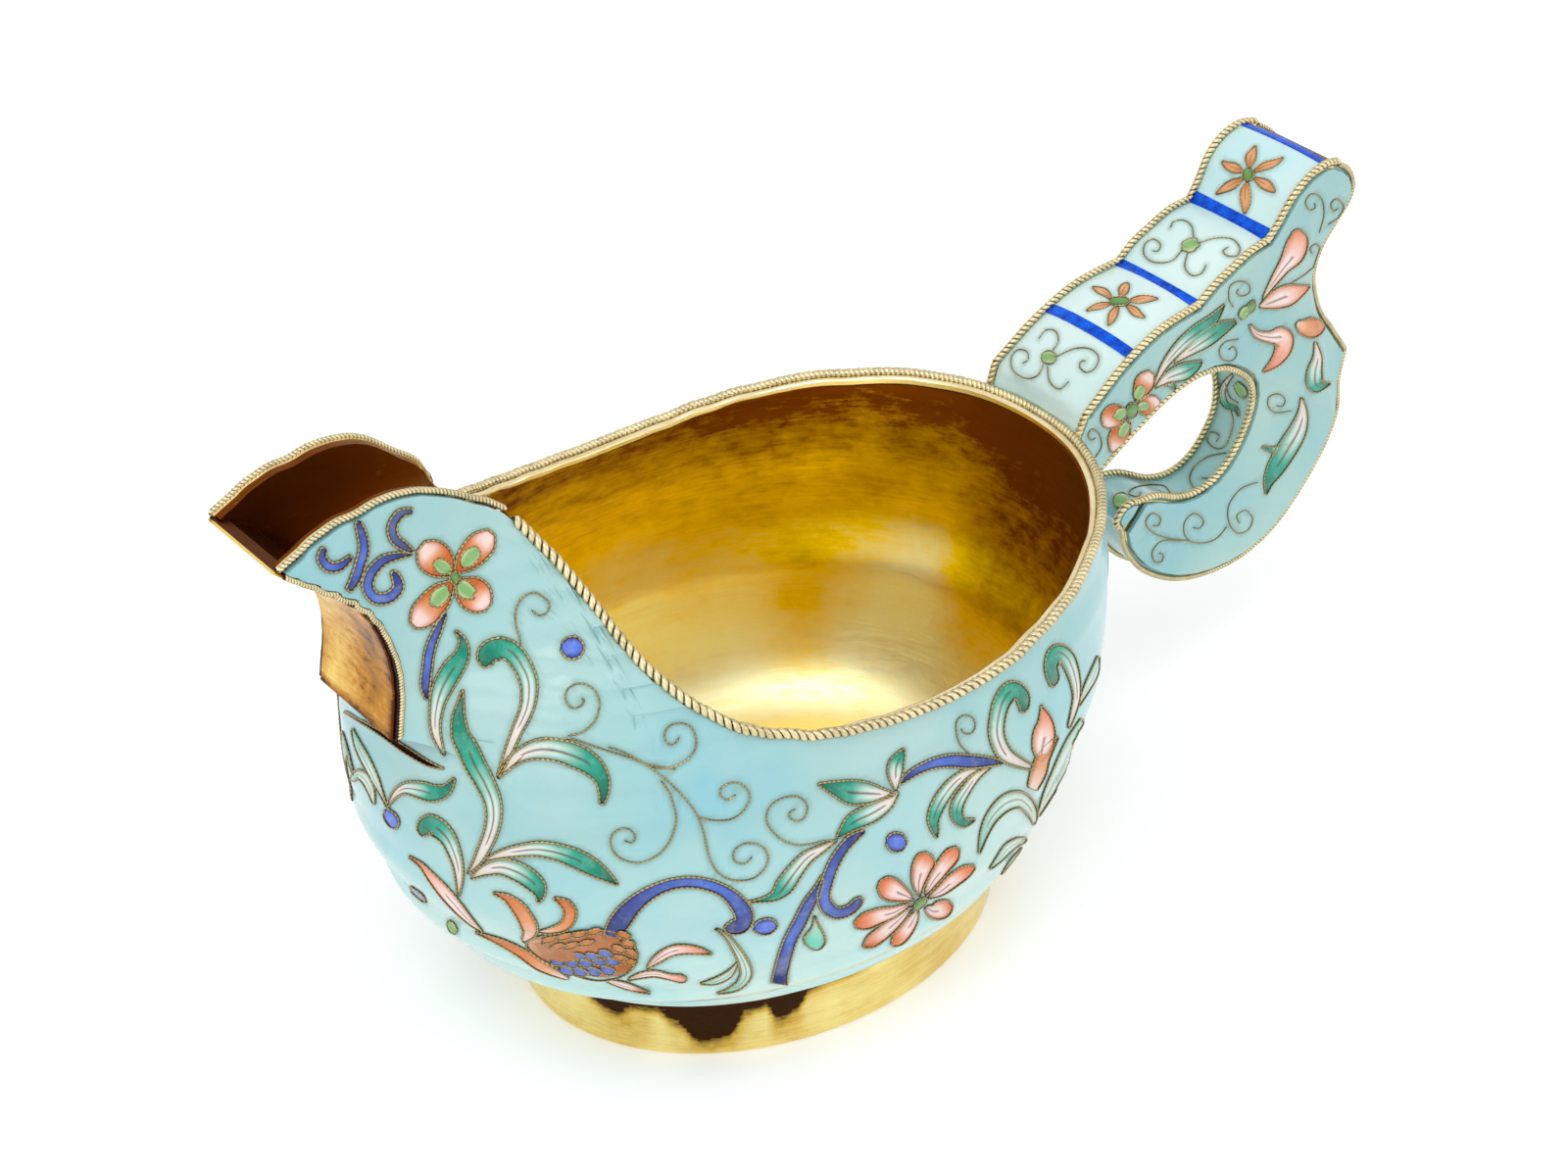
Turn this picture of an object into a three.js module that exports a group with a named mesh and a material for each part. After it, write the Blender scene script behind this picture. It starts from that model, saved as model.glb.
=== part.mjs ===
// Kovsh: a boat-shaped drinking vessel of silver-gilt with enamel fields, a pinched prow and a loop handle.
// Millimetres. The origin is the middle of the foot on the table, +X runs to the handle and +Z is up.
// The two sides mirror each other in Y, and the near side is the one at -Y.
import * as THREE from "three";
import { mergeVertices } from "three/addons/utils/BufferGeometryUtils.js";

// Foot band
const footLength = 58;
const footWidth = 44.8;
const footHeight = 8;
const footWall = 0.9;
const footFlangeWidth = 2.6;
const footFlangeThickness = 0.8;

// Bowl: reaches and half width are those of its fullest level
const bowlFrontReach = 47.6;
const bowlBackReach = 40.8;
const bowlHalfWidth = 32;
const bowlOverhang = 0.3;
const ledgeHeight = 50.5;
const rimDip = 4.5;
const rimLowHeight = ledgeHeight - rimDip;
const rimDrawIn = 0.9;
const rimBackReach = bowlBackReach - rimDrawIn;

// Walls, from the outside in
const enamelThickness = 0.6;
const enamelSeat = 0.15;
const silverThickness = 0.9;
const fitGap = 0.3;

// Prow
const prowOverhang = 11.6;
const prowReach = bowlFrontReach + prowOverhang;
const prowRise = 26.4;
const prowHeight = ledgeHeight + prowRise;
const prowTipDrop = 3.2;
const prowTipHeight = prowHeight - prowTipDrop;
const prowTipHalfWidth = 6.3;
const prowFootHalfWidth = 6.9;
const plateThickness = 0.9;
const plateSeatStep = 1;
const farDipLead = 1.7;

// Wires
const rimRopeDiameter = 1.3;
const prowWireDiameter = 0.7;
const strapRopeDiameter = 1.1;
const backWireDiameter = 0.8;
const wireSides = 6;

// Lip of the rim
const lipWidth = 0.95;
const lipHeight = 0.75;
const lipRise = 0.15;

// Handle
const handleLength = 48.7;
const handleHeight = 54.1;
const handleBottomHeight = 16.7;
const handleHalfWidth = 6.7;
const handleTaper = 0.14;
const hookDrop = 26;
const hookTaper = 0.03;
const rootFlare = 2;
const handleRiseAngle = THREE.MathUtils.degToRad(27.6);
const stripThickness = 0.8;
const panelThickness = 0.5;
const bandWidth = 1.1;
const bandThickness = 0.65;

// Plan squareness of the bowl's levels, 2 being an ellipse
const squareness = 2.1;
const mergeTolerance = 1e-4;
const halvings = 50;
const probeTurn = 0.03;
const probeRise = footHeight / 10;

// A level is a share of the wall's height from the foot to the ledge
const levelShares = [0, 0.035, 0.094, 0.212, 0.376, 0.588, 0.8, 0.9, 1];
const frontReachShares = [null, 0.647, 0.714, 0.828, 0.924, 0.987, 1, 0.992, 0.972];
const backReachShares = [null, 0.726, 0.745, 0.795, 0.887, 0.971, 1, 0.99, 0.973];
const halfWidthShares = [null, 0.753, 0.825, 0.894, 0.956, 1, 0.967, 0.94, 0.928];

// How far the prow's walls are still spread, against a share of the height from the low rim to the prow's top
const squeezeLevelShares = [
  -0.07, 0.05, 0.145, 0.24, 0.31, 0.388, 0.463, 0.557, 0.641, 0.712, 0.8, 0.88,
];
const spreadShares = [1, 0.99, 0.97, 0.88, 0.78, 0.64, 0.51, 0.35, 0.21, 0.1, 0.015, 0];

// The front plate's face, from the ledge up to the tips and on past them
const plateLevelShares = [
  0, 0.03, 0.18, 0.27, 0.37, 0.47, 0.58, 0.67, 0.74, 0.82, 0.88, 0.95, 1, 1.06, 1.14,
];
const plateReachShares = [
  0.836, 0.833, 0.824, 0.819, 0.821, 0.829, 0.843, 0.858, 0.882, 0.914, 0.946, 0.98, 1, 1.03, 1.072,
];

// The rim's height along the vessel: a negative place is a share of the prow's reach,
// a positive one of the back's
const rimPlaceShares = [
  -1, -0.965, -0.926, -0.878, -0.856, -0.818, -0.782, -0.747, -0.709, -0.676, -0.637, -0.608, -0.586,
  -0.574, -0.564, -0.551, -0.534, -0.524, -0.513, -0.505, -0.49, -0.466, -0.434, -0.405, -0.368, -0.311,
  -0.243, -0.169, -0.093, 0, 0.13, 0.243, 0.373, 0.494, 0.727, 0.902, 1,
];
const rimRiseShares = [
  0.896, 0.926, 0.964, 0.987, 0.984, 1, 1, 0.987, 0.958, 0.922, 0.874, 0.838, 0.799,
  0.754, 0.712, 0.68, 0.631, 0.592, 0.518, 0.463, 0.388, 0.311, 0.239, 0.188, 0.142, 0.097,
  0.058, 0.032, 0.013, 0, 0, 0.006, 0.029, 0.049, 0.084, 0.104, 0.11,
];

// Where the far cheek's rim runs ahead of the near one's, as shares of the prow's reach, and how much
const dipPlaceShares = [-0.73, -0.63, -0.54, -0.3];
const dipLeadShares = [0, 1, 1, 0];

// Where the columns of the walls stand, as shares of the reach at the ledge
const cheekStationShares = [
  -0.955, -0.924, -0.886, -0.847, -0.808, -0.773, -0.747, -0.73, -0.713, -0.695, -0.678, -0.663,
  -0.652, -0.637, -0.611, -0.58, -0.55,
];
const sideStationShares = [
  -0.475, -0.39, -0.28, -0.15, 0, 0.15, 0.3, 0.45, 0.59, 0.71, 0.81, 0.89, 0.945, 0.982,
];
const frontStationShares = [-1, -0.99];
const rimStart = 7;
const wallRowShares = [0, 0.035, 0.1, 0.22, 0.38, 0.58, 0.8, 1];
const cheekRowShares = [0, 0.18, 0.36, 0.53, 0.68, 0.78, 0.87, 0.94, 1];

// The prow's walls lean forward over this share of the ledge's reach, less near the ledge
const leanShares = { low: 0.11, high: 0.26 };
const leanRiseShare = 0.45;
const leanPower = 1.5;

// Handle outline in the XZ plane, as shares of its length and height, run by run from the rim over the curl
const lobeBaseShares = [
  [0.023, 0.647], [0.097, 0.708], [0.154, 0.743], [0.214, 0.769], [0.277, 0.782], [0.359, 0.789],
];
const lobeMidShares = [[0.359, 0.789], [0.402, 0.819], [0.454, 0.841], [0.515, 0.863], [0.579, 0.871]];
const lobeTopShares = [
  [0.579, 0.871], [0.61, 0.911], [0.639, 0.954], [0.68, 0.985], [0.733, 1], [0.786, 0.991],
];
const curlBackShares = [
  [0.786, 0.991], [0.836, 0.959], [0.867, 0.911], [0.862, 0.871], [0.828, 0.828], [0.795, 0.782],
  [0.786, 0.726], [0.807, 0.665], [0.854, 0.591], [0.916, 0.527], [0.984, 0.449],
];
const hookBackShares = [
  [0.984, 0.449], [0.974, 0.375], [0.984, 0.285], [0.953, 0.203], [0.89, 0.12], [0.803, 0.045],
  [0.695, 0.006], [0.567, 0.006], [0.444, 0.038], [0.331, 0.106], [0.258, 0.19], [0.222, 0.272],
];
const loopShares = [
  [0.267, 0.314], [0.335, 0.301], [0.419, 0.262], [0.493, 0.248], [0.559, 0.262], [0.614, 0.307],
  [0.651, 0.375], [0.653, 0.449], [0.62, 0.508], [0.556, 0.558], [0.485, 0.59], [0.402, 0.601],
  [0.31, 0.586], [0.218, 0.545], [0.125, 0.495], [0.043, 0.447],
];
const bandPlaceShares = [0.133, 0.357, 0.583, 0.747];
const rootHeightShares = [0.46, 0.52, 0.575, 0.6, 0.64];
const rootFlareReachShare = 0.26;

const kovsh = new THREE.Group();

const finishes = {
  gilt: { color: 0xc9a04a, roughness: 0.28, metalness: 1 },
  giltWire: { color: 0xcdbb8a, roughness: 0.35, metalness: 1 },
  enamel: { color: 0xacdbe0, roughness: 0.18, metalness: 0 },
  panel: { color: 0xb8dfe2, roughness: 0.18, metalness: 0 },
  cobalt: { color: 0x1c4fc4, roughness: 0.15, metalness: 0 },
};

// Value at a place in a list of rising stops, on a smooth curve through the stops
function smoothValue(stops, values, place) {
  const last = stops.length - 1;
  let i = stops.findIndex((stop) => stop > place) - 1;
  if (i < 0) i = place < stops[0] ? 0 : last - 1;
  const slope = (k) => {
    const a = Math.max(k - 1, 0);
    const b = Math.min(k + 1, last);
    return (values[b] - values[a]) / (stops[b] - stops[a]);
  };
  const span = stops[i + 1] - stops[i];
  const t = THREE.MathUtils.clamp((place - stops[i]) / span, 0, 1);
  const rise = values[i + 1] - values[i];
  const curve = (t - 1) * ((t - 1) * slope(i) * span - t * slope(i + 1) * span);
  return values[i] + t * t * (3 - 2 * t) * rise + t * curve;
}

const signedPower = (value, power) => Math.sign(value) * Math.abs(value) ** power;

// Reaches and half width of the bowl's outer surface at a height
function bowlLevel(height) {
  const share = (height - footHeight) / (ledgeHeight - footHeight);
  const sizes = (shares, full, seat) => shares.map((s) => (s === null ? seat + bowlOverhang : s * full));
  const at = (shares, full, seat) => smoothValue(levelShares, sizes(shares, full, seat), share);
  return {
    front: at(frontReachShares, bowlFrontReach, footLength / 2),
    back: at(backReachShares, bowlBackReach, footLength / 2),
    half: at(halfWidthShares, bowlHalfWidth, footWidth / 2),
  };
}

// Half width of the prow's channel at a height
function channelHalfWidth(height) {
  const share = THREE.MathUtils.clamp((height - ledgeHeight) / (prowTipHeight - ledgeHeight), 0, 1);
  return THREE.MathUtils.lerp(prowFootHalfWidth, prowTipHalfWidth, share);
}

// X of the front plate's face at a height
function plateFace(height) {
  const share = (height - ledgeHeight) / (prowTipHeight - ledgeHeight);
  return -prowReach * smoothValue(plateLevelShares, plateReachShares, share);
}
const cheekFace = (height) => plateFace(height) + prowWireDiameter + fitGap;

// Point of the bowl's outer surface, y being positive. turn runs from 0 at the front to pi at the back
function bowlPoint(turn, height) {
  const level = bowlLevel(Math.min(height, ledgeHeight));
  const forward = Math.cos(turn);
  const power = 2 / squareness;
  const x = -signedPower(forward, power) * (forward > 0 ? level.front : level.back);
  const y = level.half * signedPower(Math.sin(turn), power);
  const channel = channelHalfWidth(height);
  const squeeze = (height - rimLowHeight) / (prowHeight - rimLowHeight);
  const spread = smoothValue(squeezeLevelShares, spreadShares, squeeze);
  return new THREE.Vector3(x, y > channel ? channel + (y - channel) * spread : y, height);
}

const ledgeLevel = bowlLevel(ledgeHeight);
const stationX = (share) => share * (share < 0 ? ledgeLevel.front : ledgeLevel.back);
const stationTurn = (share) => Math.acos(-signedPower(share, squareness / 2));

// Point of the prow's outer surface: the bowl's, leaning forward to the cheeks' front edges
function prowPoint(turn, height) {
  const point = bowlPoint(turn, height);
  const edge = stationX(cheekStationShares[0]);
  const rise = (height - ledgeHeight) / (prowHeight - ledgeHeight) / leanRiseShare;
  const clampedRise = THREE.MathUtils.clamp(rise, 0, 1);
  const reach = THREE.MathUtils.lerp(leanShares.low, leanShares.high, clampedRise) * bowlFrontReach;
  const fade = THREE.MathUtils.clamp(1 - (point.x - edge) / reach, 0, 1) ** leanPower;
  point.x += (cheekFace(height) - edge) * fade;
  point.y += (channelHalfWidth(height) - point.y) * fade;
  return point;
}

const bowlTurns = [...frontStationShares, ...cheekStationShares, ...sideStationShares, 1].map(stationTurn);
const cheekTurns = cheekStationShares.map(stationTurn);
const surfaceAt = (turn) => (turn > cheekTurns.at(-1) ? bowlPoint : prowPoint);

// Outward unit normal of a surface, taken over a short patch so that it turns smoothly
function wallNormal(surface, turn, height) {
  const along = surface(turn + probeTurn, height).sub(surface(turn - probeTurn, height));
  const up = surface(turn, height + probeRise).sub(surface(turn, height - probeRise));
  return along.cross(up).negate().normalize();
}

// Point at a depth under a surface
function wallUnder(surface, turn, height, depth) {
  return surface(turn, height).addScaledVector(wallNormal(surface, turn, height), -depth);
}

// Height of the rim at a place along the vessel. The far cheek comes down a little sooner than the near one
function rimHeight(x, side) {
  const leads = side > 0 && x < 0;
  const lead = leads ? farDipLead * smoothValue(dipPlaceShares, dipLeadShares, x / prowReach) : 0;
  const share = x < 0 ? (x + lead) / prowReach : x / rimBackReach;
  const rise = smoothValue(rimPlaceShares, rimRiseShares, share);
  return THREE.MathUtils.lerp(rimLowHeight, prowHeight, rise);
}

// Height at which a column of the wall meets the rim, by halving
function columnTop(turn, side) {
  let low = footHeight;
  let high = prowHeight * 2;
  for (let step = 0; step < halvings; step += 1) {
    const middle = (low + high) / 2;
    if (middle < rimHeight(surfaceAt(turn)(turn, middle).x, side)) low = middle;
    else high = middle;
  }
  return low;
}

// Solid between closed loops of points, capped at both ends unless the loops close into a ring.
// The second half of a loop faces the first, and its faces are cut along the same diagonal
function loft(loops, ring = false) {
  const size = loops[0].length;
  const positions = loops.flat().flatMap((point) => point.toArray());
  const faces = [];
  const quad = (a, b, c, d) => faces.push([a, b, c], [a, c, d]);
  const spans = ring ? loops.length : loops.length - 1;
  for (let i = 0; i < spans; i += 1) {
    const here = i * size;
    const next = ((i + 1) % loops.length) * size;
    for (let k = 0; k < size; k += 1) {
      const step = (k + 1) % size;
      if (k < size / 2) quad(here + k, here + step, next + step, next + k);
      else quad(here + step, next + step, next + k, here + k);
    }
  }
  if (!ring) {
    const end = (loops.length - 1) * size;
    for (let k = 0; k < size / 2 - 1; k += 1) {
      quad(k, size - 1 - k, size - 2 - k, k + 1);
      quad(end + k, end + k + 1, end + size - 2 - k, end + size - 1 - k);
    }
  }
  return closedGeometry(positions, faces.flat());
}

// Merged geometry without collapsed faces, its faces turned outwards
function closedGeometry(positions, index) {
  const raw = new THREE.BufferGeometry();
  raw.setAttribute("position", new THREE.Float32BufferAttribute(positions, 3));
  raw.setIndex(index);
  const merged = mergeVertices(raw, mergeTolerance);
  const place = merged.getAttribute("position");
  const corner = (i) => new THREE.Vector3().fromBufferAttribute(place, i);
  const faces = [];
  let volume = 0;
  for (let i = 0; i < merged.index.count; i += 3) {
    const [a, b, c] = [0, 1, 2].map((k) => merged.index.getX(i + k));
    if (a === b || b === c || c === a) continue;
    faces.push([a, b, c]);
    volume += corner(a).dot(corner(b).cross(corner(c)));
  }
  merged.setIndex((volume < 0 ? faces.map(([a, b, c]) => [a, c, b]) : faces).flat());
  merged.computeVertexNormals();
  return merged;
}

function addPiece(name, geometry, finish) {
  const mesh = new THREE.Mesh(geometry, new THREE.MeshStandardMaterial(finishes[finish]));
  mesh.name = name;
  kovsh.add(mesh);
}

const flipped = (point, side) => new THREE.Vector3(point.x, point.y * side, point.z);

// Adds a piece for each side: near at -Y and far at +Y
function addPair(name, build, finish) {
  addPiece(`${name}_near`, build(-1), finish);
  addPiece(`${name}_far`, build(1), finish);
}

// Foot: a band with an inward flange that the bowl's flat bottom sits on
const ringCount = 56;
const ringTurns = Array.from({ length: ringCount }, (_, i) => (i / ringCount) * 2 * Math.PI);

function footLoop(turn) {
  const at = (inset, height) => new THREE.Vector3(
    Math.cos(turn) * (footLength / 2 - inset), Math.sin(turn) * (footWidth / 2 - inset), height,
  );
  return [
    at(0, 0), at(0, footHeight), at(footWall + footFlangeWidth, footHeight),
    at(footWall + footFlangeWidth, footHeight - footFlangeThickness),
    at(footWall, footHeight - footFlangeThickness), at(footWall, 0),
  ];
}
addPiece("foot_ring", loft(ringTurns.map(footLoop), true), "gilt");

// Bowl: one ring of columns, each cut off at the rim or at the ledge under the prow
const wallDepth = enamelThickness + enamelSeat;
const wallFoot = footHeight + fitGap;
const topAllowance = lipHeight - lipRise + fitGap;

// The rim at a column: its point, the wall's outward normal and the way up out of the wall's edge
function rimFrame(turn, side) {
  const surface = surfaceAt(turn);
  const at = (place) => surface(place, columnTop(place, side));
  const normal = wallNormal(surface, turn, columnTop(turn, side));
  const along = at(turn + probeTurn).sub(at(turn - probeTurn)).normalize();
  return { point: at(turn), normal, up: along.cross(normal).normalize() };
}

// Height of a column's top edge, a clearance below the rim
function edgeHeight(turn, side, clearance) {
  const { point, up } = rimFrame(turn, side);
  return point.z - clearance / Math.abs(up.z);
}

// Heights of a bowl column's rows
function bowlRows(turn, side) {
  const underProw = turn < cheekTurns[0];
  const top = underProw ? ledgeHeight : Math.min(edgeHeight(turn, side, topAllowance), ledgeHeight);
  return wallRowShares.map((share) => THREE.MathUtils.lerp(wallFoot, top, share));
}

// Loop round a wall between two depths, cut level at its foot and at the ledge and square at the rim
function wallLoop(surface, turn, rows, side, shallow, deep) {
  const column = (depth) => rows.map((height) => {
    const point = wallUnder(surface, turn, height, depth);
    return height === rows[0] || height === ledgeHeight ? point.setZ(height) : point;
  });
  return [...column(shallow), ...column(deep).reverse()].map((point) => flipped(point, side));
}

const enamelLoop = (surface, turn, rows, side) => wallLoop(surface, turn, rows, side, 0, enamelThickness);

function silverLoop(surface, turn, rows, side) {
  const shallow = surface === prowPoint ? enamelThickness + fitGap : wallDepth;
  return wallLoop(surface, turn, rows, side, shallow, shallow + silverThickness);
}

// Loop of the bowl's silver: flat bottom, wall, and inside down to the middle of the floor
function bowlLoop(turn, side) {
  const shell = silverLoop(bowlPoint, turn, bowlRows(turn, side), side);
  shell.at(-1).setZ(footHeight + silverThickness);
  const middle = (height) => new THREE.Vector3(0, 0, height);
  const shrink = (footLength / 2 - footWall - bowlOverhang) / (footLength / 2);
  const seat = bowlPoint(turn, footHeight).multiplyScalar(shrink).setZ(footHeight);
  return [middle(footHeight), flipped(seat, side), ...shell, middle(footHeight + silverThickness)];
}

// Both halves of a ring of columns, front to back on the near side and back to front on the far side
function ringOf(makeLoop) {
  const near = bowlTurns.map((turn) => makeLoop(turn, -1));
  const far = bowlTurns.slice(1, -1).reverse().map((turn) => makeLoop(turn, 1));
  return loft([...near, ...far], true);
}
addPiece("bowl_shell", ringOf(bowlLoop), "gilt");
addPiece("bowl_enamel", ringOf((turn, side) => (
  enamelLoop(bowlPoint, turn, bowlRows(turn, side), side)
)), "enamel");

// Prow cheeks: the walls above the ledge, from the front plate back to where the rim comes down
const cheekBottom = ledgeHeight + fitGap;
function cheekRows(turn, side) {
  const top = edgeHeight(turn, side, turn < cheekTurns[rimStart] ? fitGap : topAllowance + fitGap);
  return cheekRowShares.map((share) => THREE.MathUtils.lerp(cheekBottom, top, share));
}

const seatTurn = stationTurn(cheekStationShares[0] + plateSeatStep / bowlFrontReach);
const seatTurns = [seatTurn, ...cheekTurns.slice(1)];
addPair("prow_cheek", (side) => (
  loft(seatTurns.map((turn) => silverLoop(prowPoint, turn, cheekRows(turn, side), side)))
), "gilt");
addPair("prow_enamel", (side) => (
  loft(cheekTurns.map((turn) => enamelLoop(prowPoint, turn, cheekRows(turn, side), side)))
), "enamel");

// Front plate: a strip bent to the cheeks' front edges
const plateRows = plateLevelShares.filter((share) => share <= 1);
const plateHeights = plateRows.map((share) => THREE.MathUtils.lerp(ledgeHeight, prowTipHeight, share));

function plateLoop(height) {
  const half = channelHalfWidth(height) - wallDepth - enamelSeat;
  const ahead = plateFace(height);
  const behind = ahead + plateThickness / Math.cos(Math.atan2(
    plateFace(height + probeRise) - plateFace(height - probeRise), 2 * probeRise,
  ));
  const slope = Math.min(behind, ahead + 2 * plateThickness);
  return [[ahead, -half], [ahead, half], [slope, half], [slope, -half]].map(
    ([x, y]) => new THREE.Vector3(x, y, height),
  );
}
addPiece("prow_plate", loft(plateHeights.map(plateLoop)), "gilt");

// Floor strip between the front plate and the bowl's front wall
const floorFront = plateFace(ledgeHeight) + 2 * plateThickness + fitGap;
const floorBack = -ledgeLevel.front + wallDepth + silverThickness;
const floorHalf = prowFootHalfWidth - wallDepth - silverThickness - fitGap;

function floorLoop(x) {
  const top = cheekBottom + plateThickness;
  return [[-floorHalf, cheekBottom], [floorHalf, cheekBottom], [floorHalf, top], [-floorHalf, top]].map(
    ([y, z]) => new THREE.Vector3(x, y, z),
  );
}
addPiece("prow_floor", loft([floorLoop(floorFront), floorLoop(floorBack)]), "gilt");

// Round wire along a path of points
function wire(points, diameter, steps) {
  const corners = Array.from({ length: wireSides }, (_, i) => {
    const turn = (i / wireSides) * 2 * Math.PI;
    return new THREE.Vector2(Math.cos(turn), Math.sin(turn)).multiplyScalar(diameter / 2);
  });
  const path = new THREE.CatmullRomCurve3(points, false, "centripetal");
  const sweep = { steps, extrudePath: path, bevelEnabled: false };
  const place = new THREE.ExtrudeGeometry(new THREE.Shape(corners), sweep).getAttribute("position");
  return closedGeometry(Array.from(place.array), Array.from({ length: place.count }, (_, i) => i));
}

// Rim: rope wire outside, plain lip inside, both from the near cheek round the back to the far cheek
const rimTurns = [...cheekTurns.slice(rimStart), ...sideStationShares.map(stationTurn)];
const backTurn = stationTurn(1);

function rimPoint(turn, inward, lift, side) {
  const { point, normal, up } = rimFrame(turn, side);
  return flipped(point.addScaledVector(normal, -inward).addScaledVector(up, lift), side);
}

function rimPath(make) {
  const near = rimTurns.map((turn) => make(turn, -1));
  const far = [...rimTurns].reverse().map((turn) => make(turn, 1));
  return [...near, make(backTurn, 1), ...far];
}

const ropeInset = -enamelSeat;
const rimRopePath = rimPath((turn, side) => rimPoint(turn, ropeInset, 0, side));
addPiece("rim_rope", wire(rimRopePath, rimRopeDiameter, 104), "giltWire");

const lipOuter = rimRopeDiameter / 2 + fitGap + enamelSeat / 2;

function lipLoop(turn, side) {
  const under = lipRise - lipHeight;
  const inner = lipOuter + lipWidth;
  return [[lipOuter, lipRise], [inner, lipRise], [inner, under], [lipOuter, under]].map(
    ([inward, lift]) => rimPoint(turn, inward, lift, side),
  );
}
addPiece("rim_lip", loft(rimPath(lipLoop)), "gilt");

// Edging wires of the prow: along the cheeks' tops and down their front edges
const topWireEnd = (cheekTurns[rimStart - 1] + cheekTurns[rimStart]) / 2;
const topWireTurns = [...cheekTurns.slice(0, rimStart), topWireEnd];
addPair("prow_top_wire", (side) => {
  const path = topWireTurns.map((turn) => rimPoint(turn, enamelThickness, prowWireDiameter / 2, side));
  return wire(path, prowWireDiameter, 15);
}, "giltWire");

function frontEdgePoint(height, side) {
  const half = channelHalfWidth(height) - enamelThickness / 2;
  const slope = (cheekFace(height + probeRise) - cheekFace(height - probeRise)) / (2 * probeRise);
  const out = new THREE.Vector3(-1, 0, slope).setLength(prowWireDiameter / 2 + fitGap);
  return new THREE.Vector3(cheekFace(height), half * side, height).add(out);
}
addPair("prow_front_wire", (side) => {
  const heights = cheekRows(cheekTurns[0], side).slice(0, -1);
  return wire(heights.map((height) => frontEdgePoint(height, side)), prowWireDiameter, 16);
}, "giltWire");

// Handle
function handlePoint([along, up]) {
  return new THREE.Vector2(rimBackReach + along * handleLength, handleBottomHeight + up * handleHeight);
}

// Smooth run of points through the named shares
function handleRun(shares, count) {
  return new THREE.SplineCurve(shares.map(handlePoint)).getPoints(count);
}

// The handle narrows as it falls away from the line that rises from the rim, less so in its hook.
// Its far side flares out towards the root
function halfWidthAt(x, z, side) {
  const rootHeight = THREE.MathUtils.lerp(rimLowHeight, prowHeight, rimRiseShares.at(-1));
  const out = x - rimBackReach;
  const below = Math.sin(handleRiseAngle) * out - Math.cos(handleRiseAngle) * (z - rootHeight);
  const wedge = handleTaper * Math.min(below, hookDrop) + hookTaper * Math.max(below - hookDrop, 0);
  const flare = side > 0 ? 1 - out / (rootFlareReachShare * handleLength) : 0;
  return handleHalfWidth - wedge + rootFlare * THREE.MathUtils.clamp(flare, 0, 1) ** 2;
}

// Outline moved sideways: a positive distance goes to the right of the way it runs
function moved(points, distance) {
  return points.map((point, i) => {
    const before = points[Math.max(i - 1, 0)];
    const after = points[Math.min(i + 1, points.length - 1)];
    const way = after.clone().sub(before).normalize();
    return new THREE.Vector2(point.x + way.y * distance, point.y - way.x * distance);
  });
}

// Strip across the handle between two depths, following what is kept of a run of its outline
function strip(run, shallow, deep, kept = () => true) {
  const outer = moved(run, shallow);
  const inner = moved(run, deep);
  const edge = ([point, side]) => new THREE.Vector3(
    point.x, side * (halfWidthAt(point.x, point.y, side) - stripInset), point.y,
  );
  const loops = run.map((_, i) => [[outer[i], 1], [outer[i], -1], [inner[i], -1], [inner[i], 1]].map(edge));
  return loft(loops.filter((_, i) => kept(run[i].x)));
}

const topRun = [
  ...handleRun(lobeBaseShares, 10),
  ...handleRun(lobeMidShares, 8).slice(1),
  ...handleRun(lobeTopShares, 10).slice(1),
];
const backEdge = [...handleRun(curlBackShares, 18), ...handleRun(hookBackShares, 22).slice(1)];
const backRun = moved(backEdge, backWireDiameter / 2 - enamelSeat);
const loopRun = handleRun(loopShares, 26);
const skinDepth = panelThickness + enamelSeat;
const stripDepth = skinDepth + stripThickness;
const stripInset = stripDepth + fitGap;

// The runs less their shared end points, which leaves a joint between one strip and the next
const topEdge = topRun.slice(0, -1);
const backWay = backRun.slice(1, -1);
const loopWay = loopRun.slice(1);

addPiece("handle_top_strip", strip(topEdge, skinDepth, stripDepth), "gilt");
addPiece("handle_back_strip", strip(backWay, skinDepth, stripDepth), "gilt");
addPiece("handle_loop_strip", strip(loopWay, skinDepth, stripDepth), "gilt");
addPiece("handle_back_enamel", strip(backWay, 0, panelThickness), "enamel");
addPiece("handle_loop_enamel", strip(loopWay, 0, panelThickness), "enamel");

// Top of the handle: enamel panels with a raised cobalt bar after each
const bandPlaces = bandPlaceShares.map((share) => rimBackReach + share * handleLength);
const bandHalf = bandWidth / 2;
const panelRoom = bandHalf + fitGap;
const cuts = bandPlaces.flatMap((x) => [x - panelRoom, x - bandHalf, x, x + bandHalf, x + panelRoom]);
const topXs = topRun.map((point) => point.x);
const topZs = topRun.map((point) => point.y);
const plainTop = topRun.filter((point) => bandPlaces.every((x) => Math.abs(point.x - x) > 2 * panelRoom));
const cutPoints = cuts.map((x) => new THREE.Vector2(x, smoothValue(topXs, topZs, x)));
const cutTop = [...plainTop, ...cutPoints].sort((a, b) => a.x - b.x);
bandPlaces.forEach((x, i) => {
  const start = i === 0 ? topRun[0].x : bandPlaces[i - 1] + panelRoom;
  const inPanel = (place) => place >= start && place <= x - panelRoom;
  const inBar = (place) => Math.abs(place - x) <= bandHalf;
  const barTop = panelThickness - bandThickness;
  addPiece(`top_panel_${i + 1}`, strip(cutTop, 0, panelThickness, inPanel), "panel");
  addPiece(`cobalt_band_${i + 1}`, strip(cutTop, barTop, panelThickness, inBar), "cobalt");
});

// Side plates and their enamel: the outline drawn in by the wires' room, closed along the bowl's wall
const sideInset = skinDepth - enamelSeat;

function wallReach(height, halfWidth) {
  const level = bowlLevel(Math.min(height, ledgeHeight));
  return level.back * (1 - (halfWidth / level.half) ** squareness) ** (1 / squareness);
}

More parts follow.
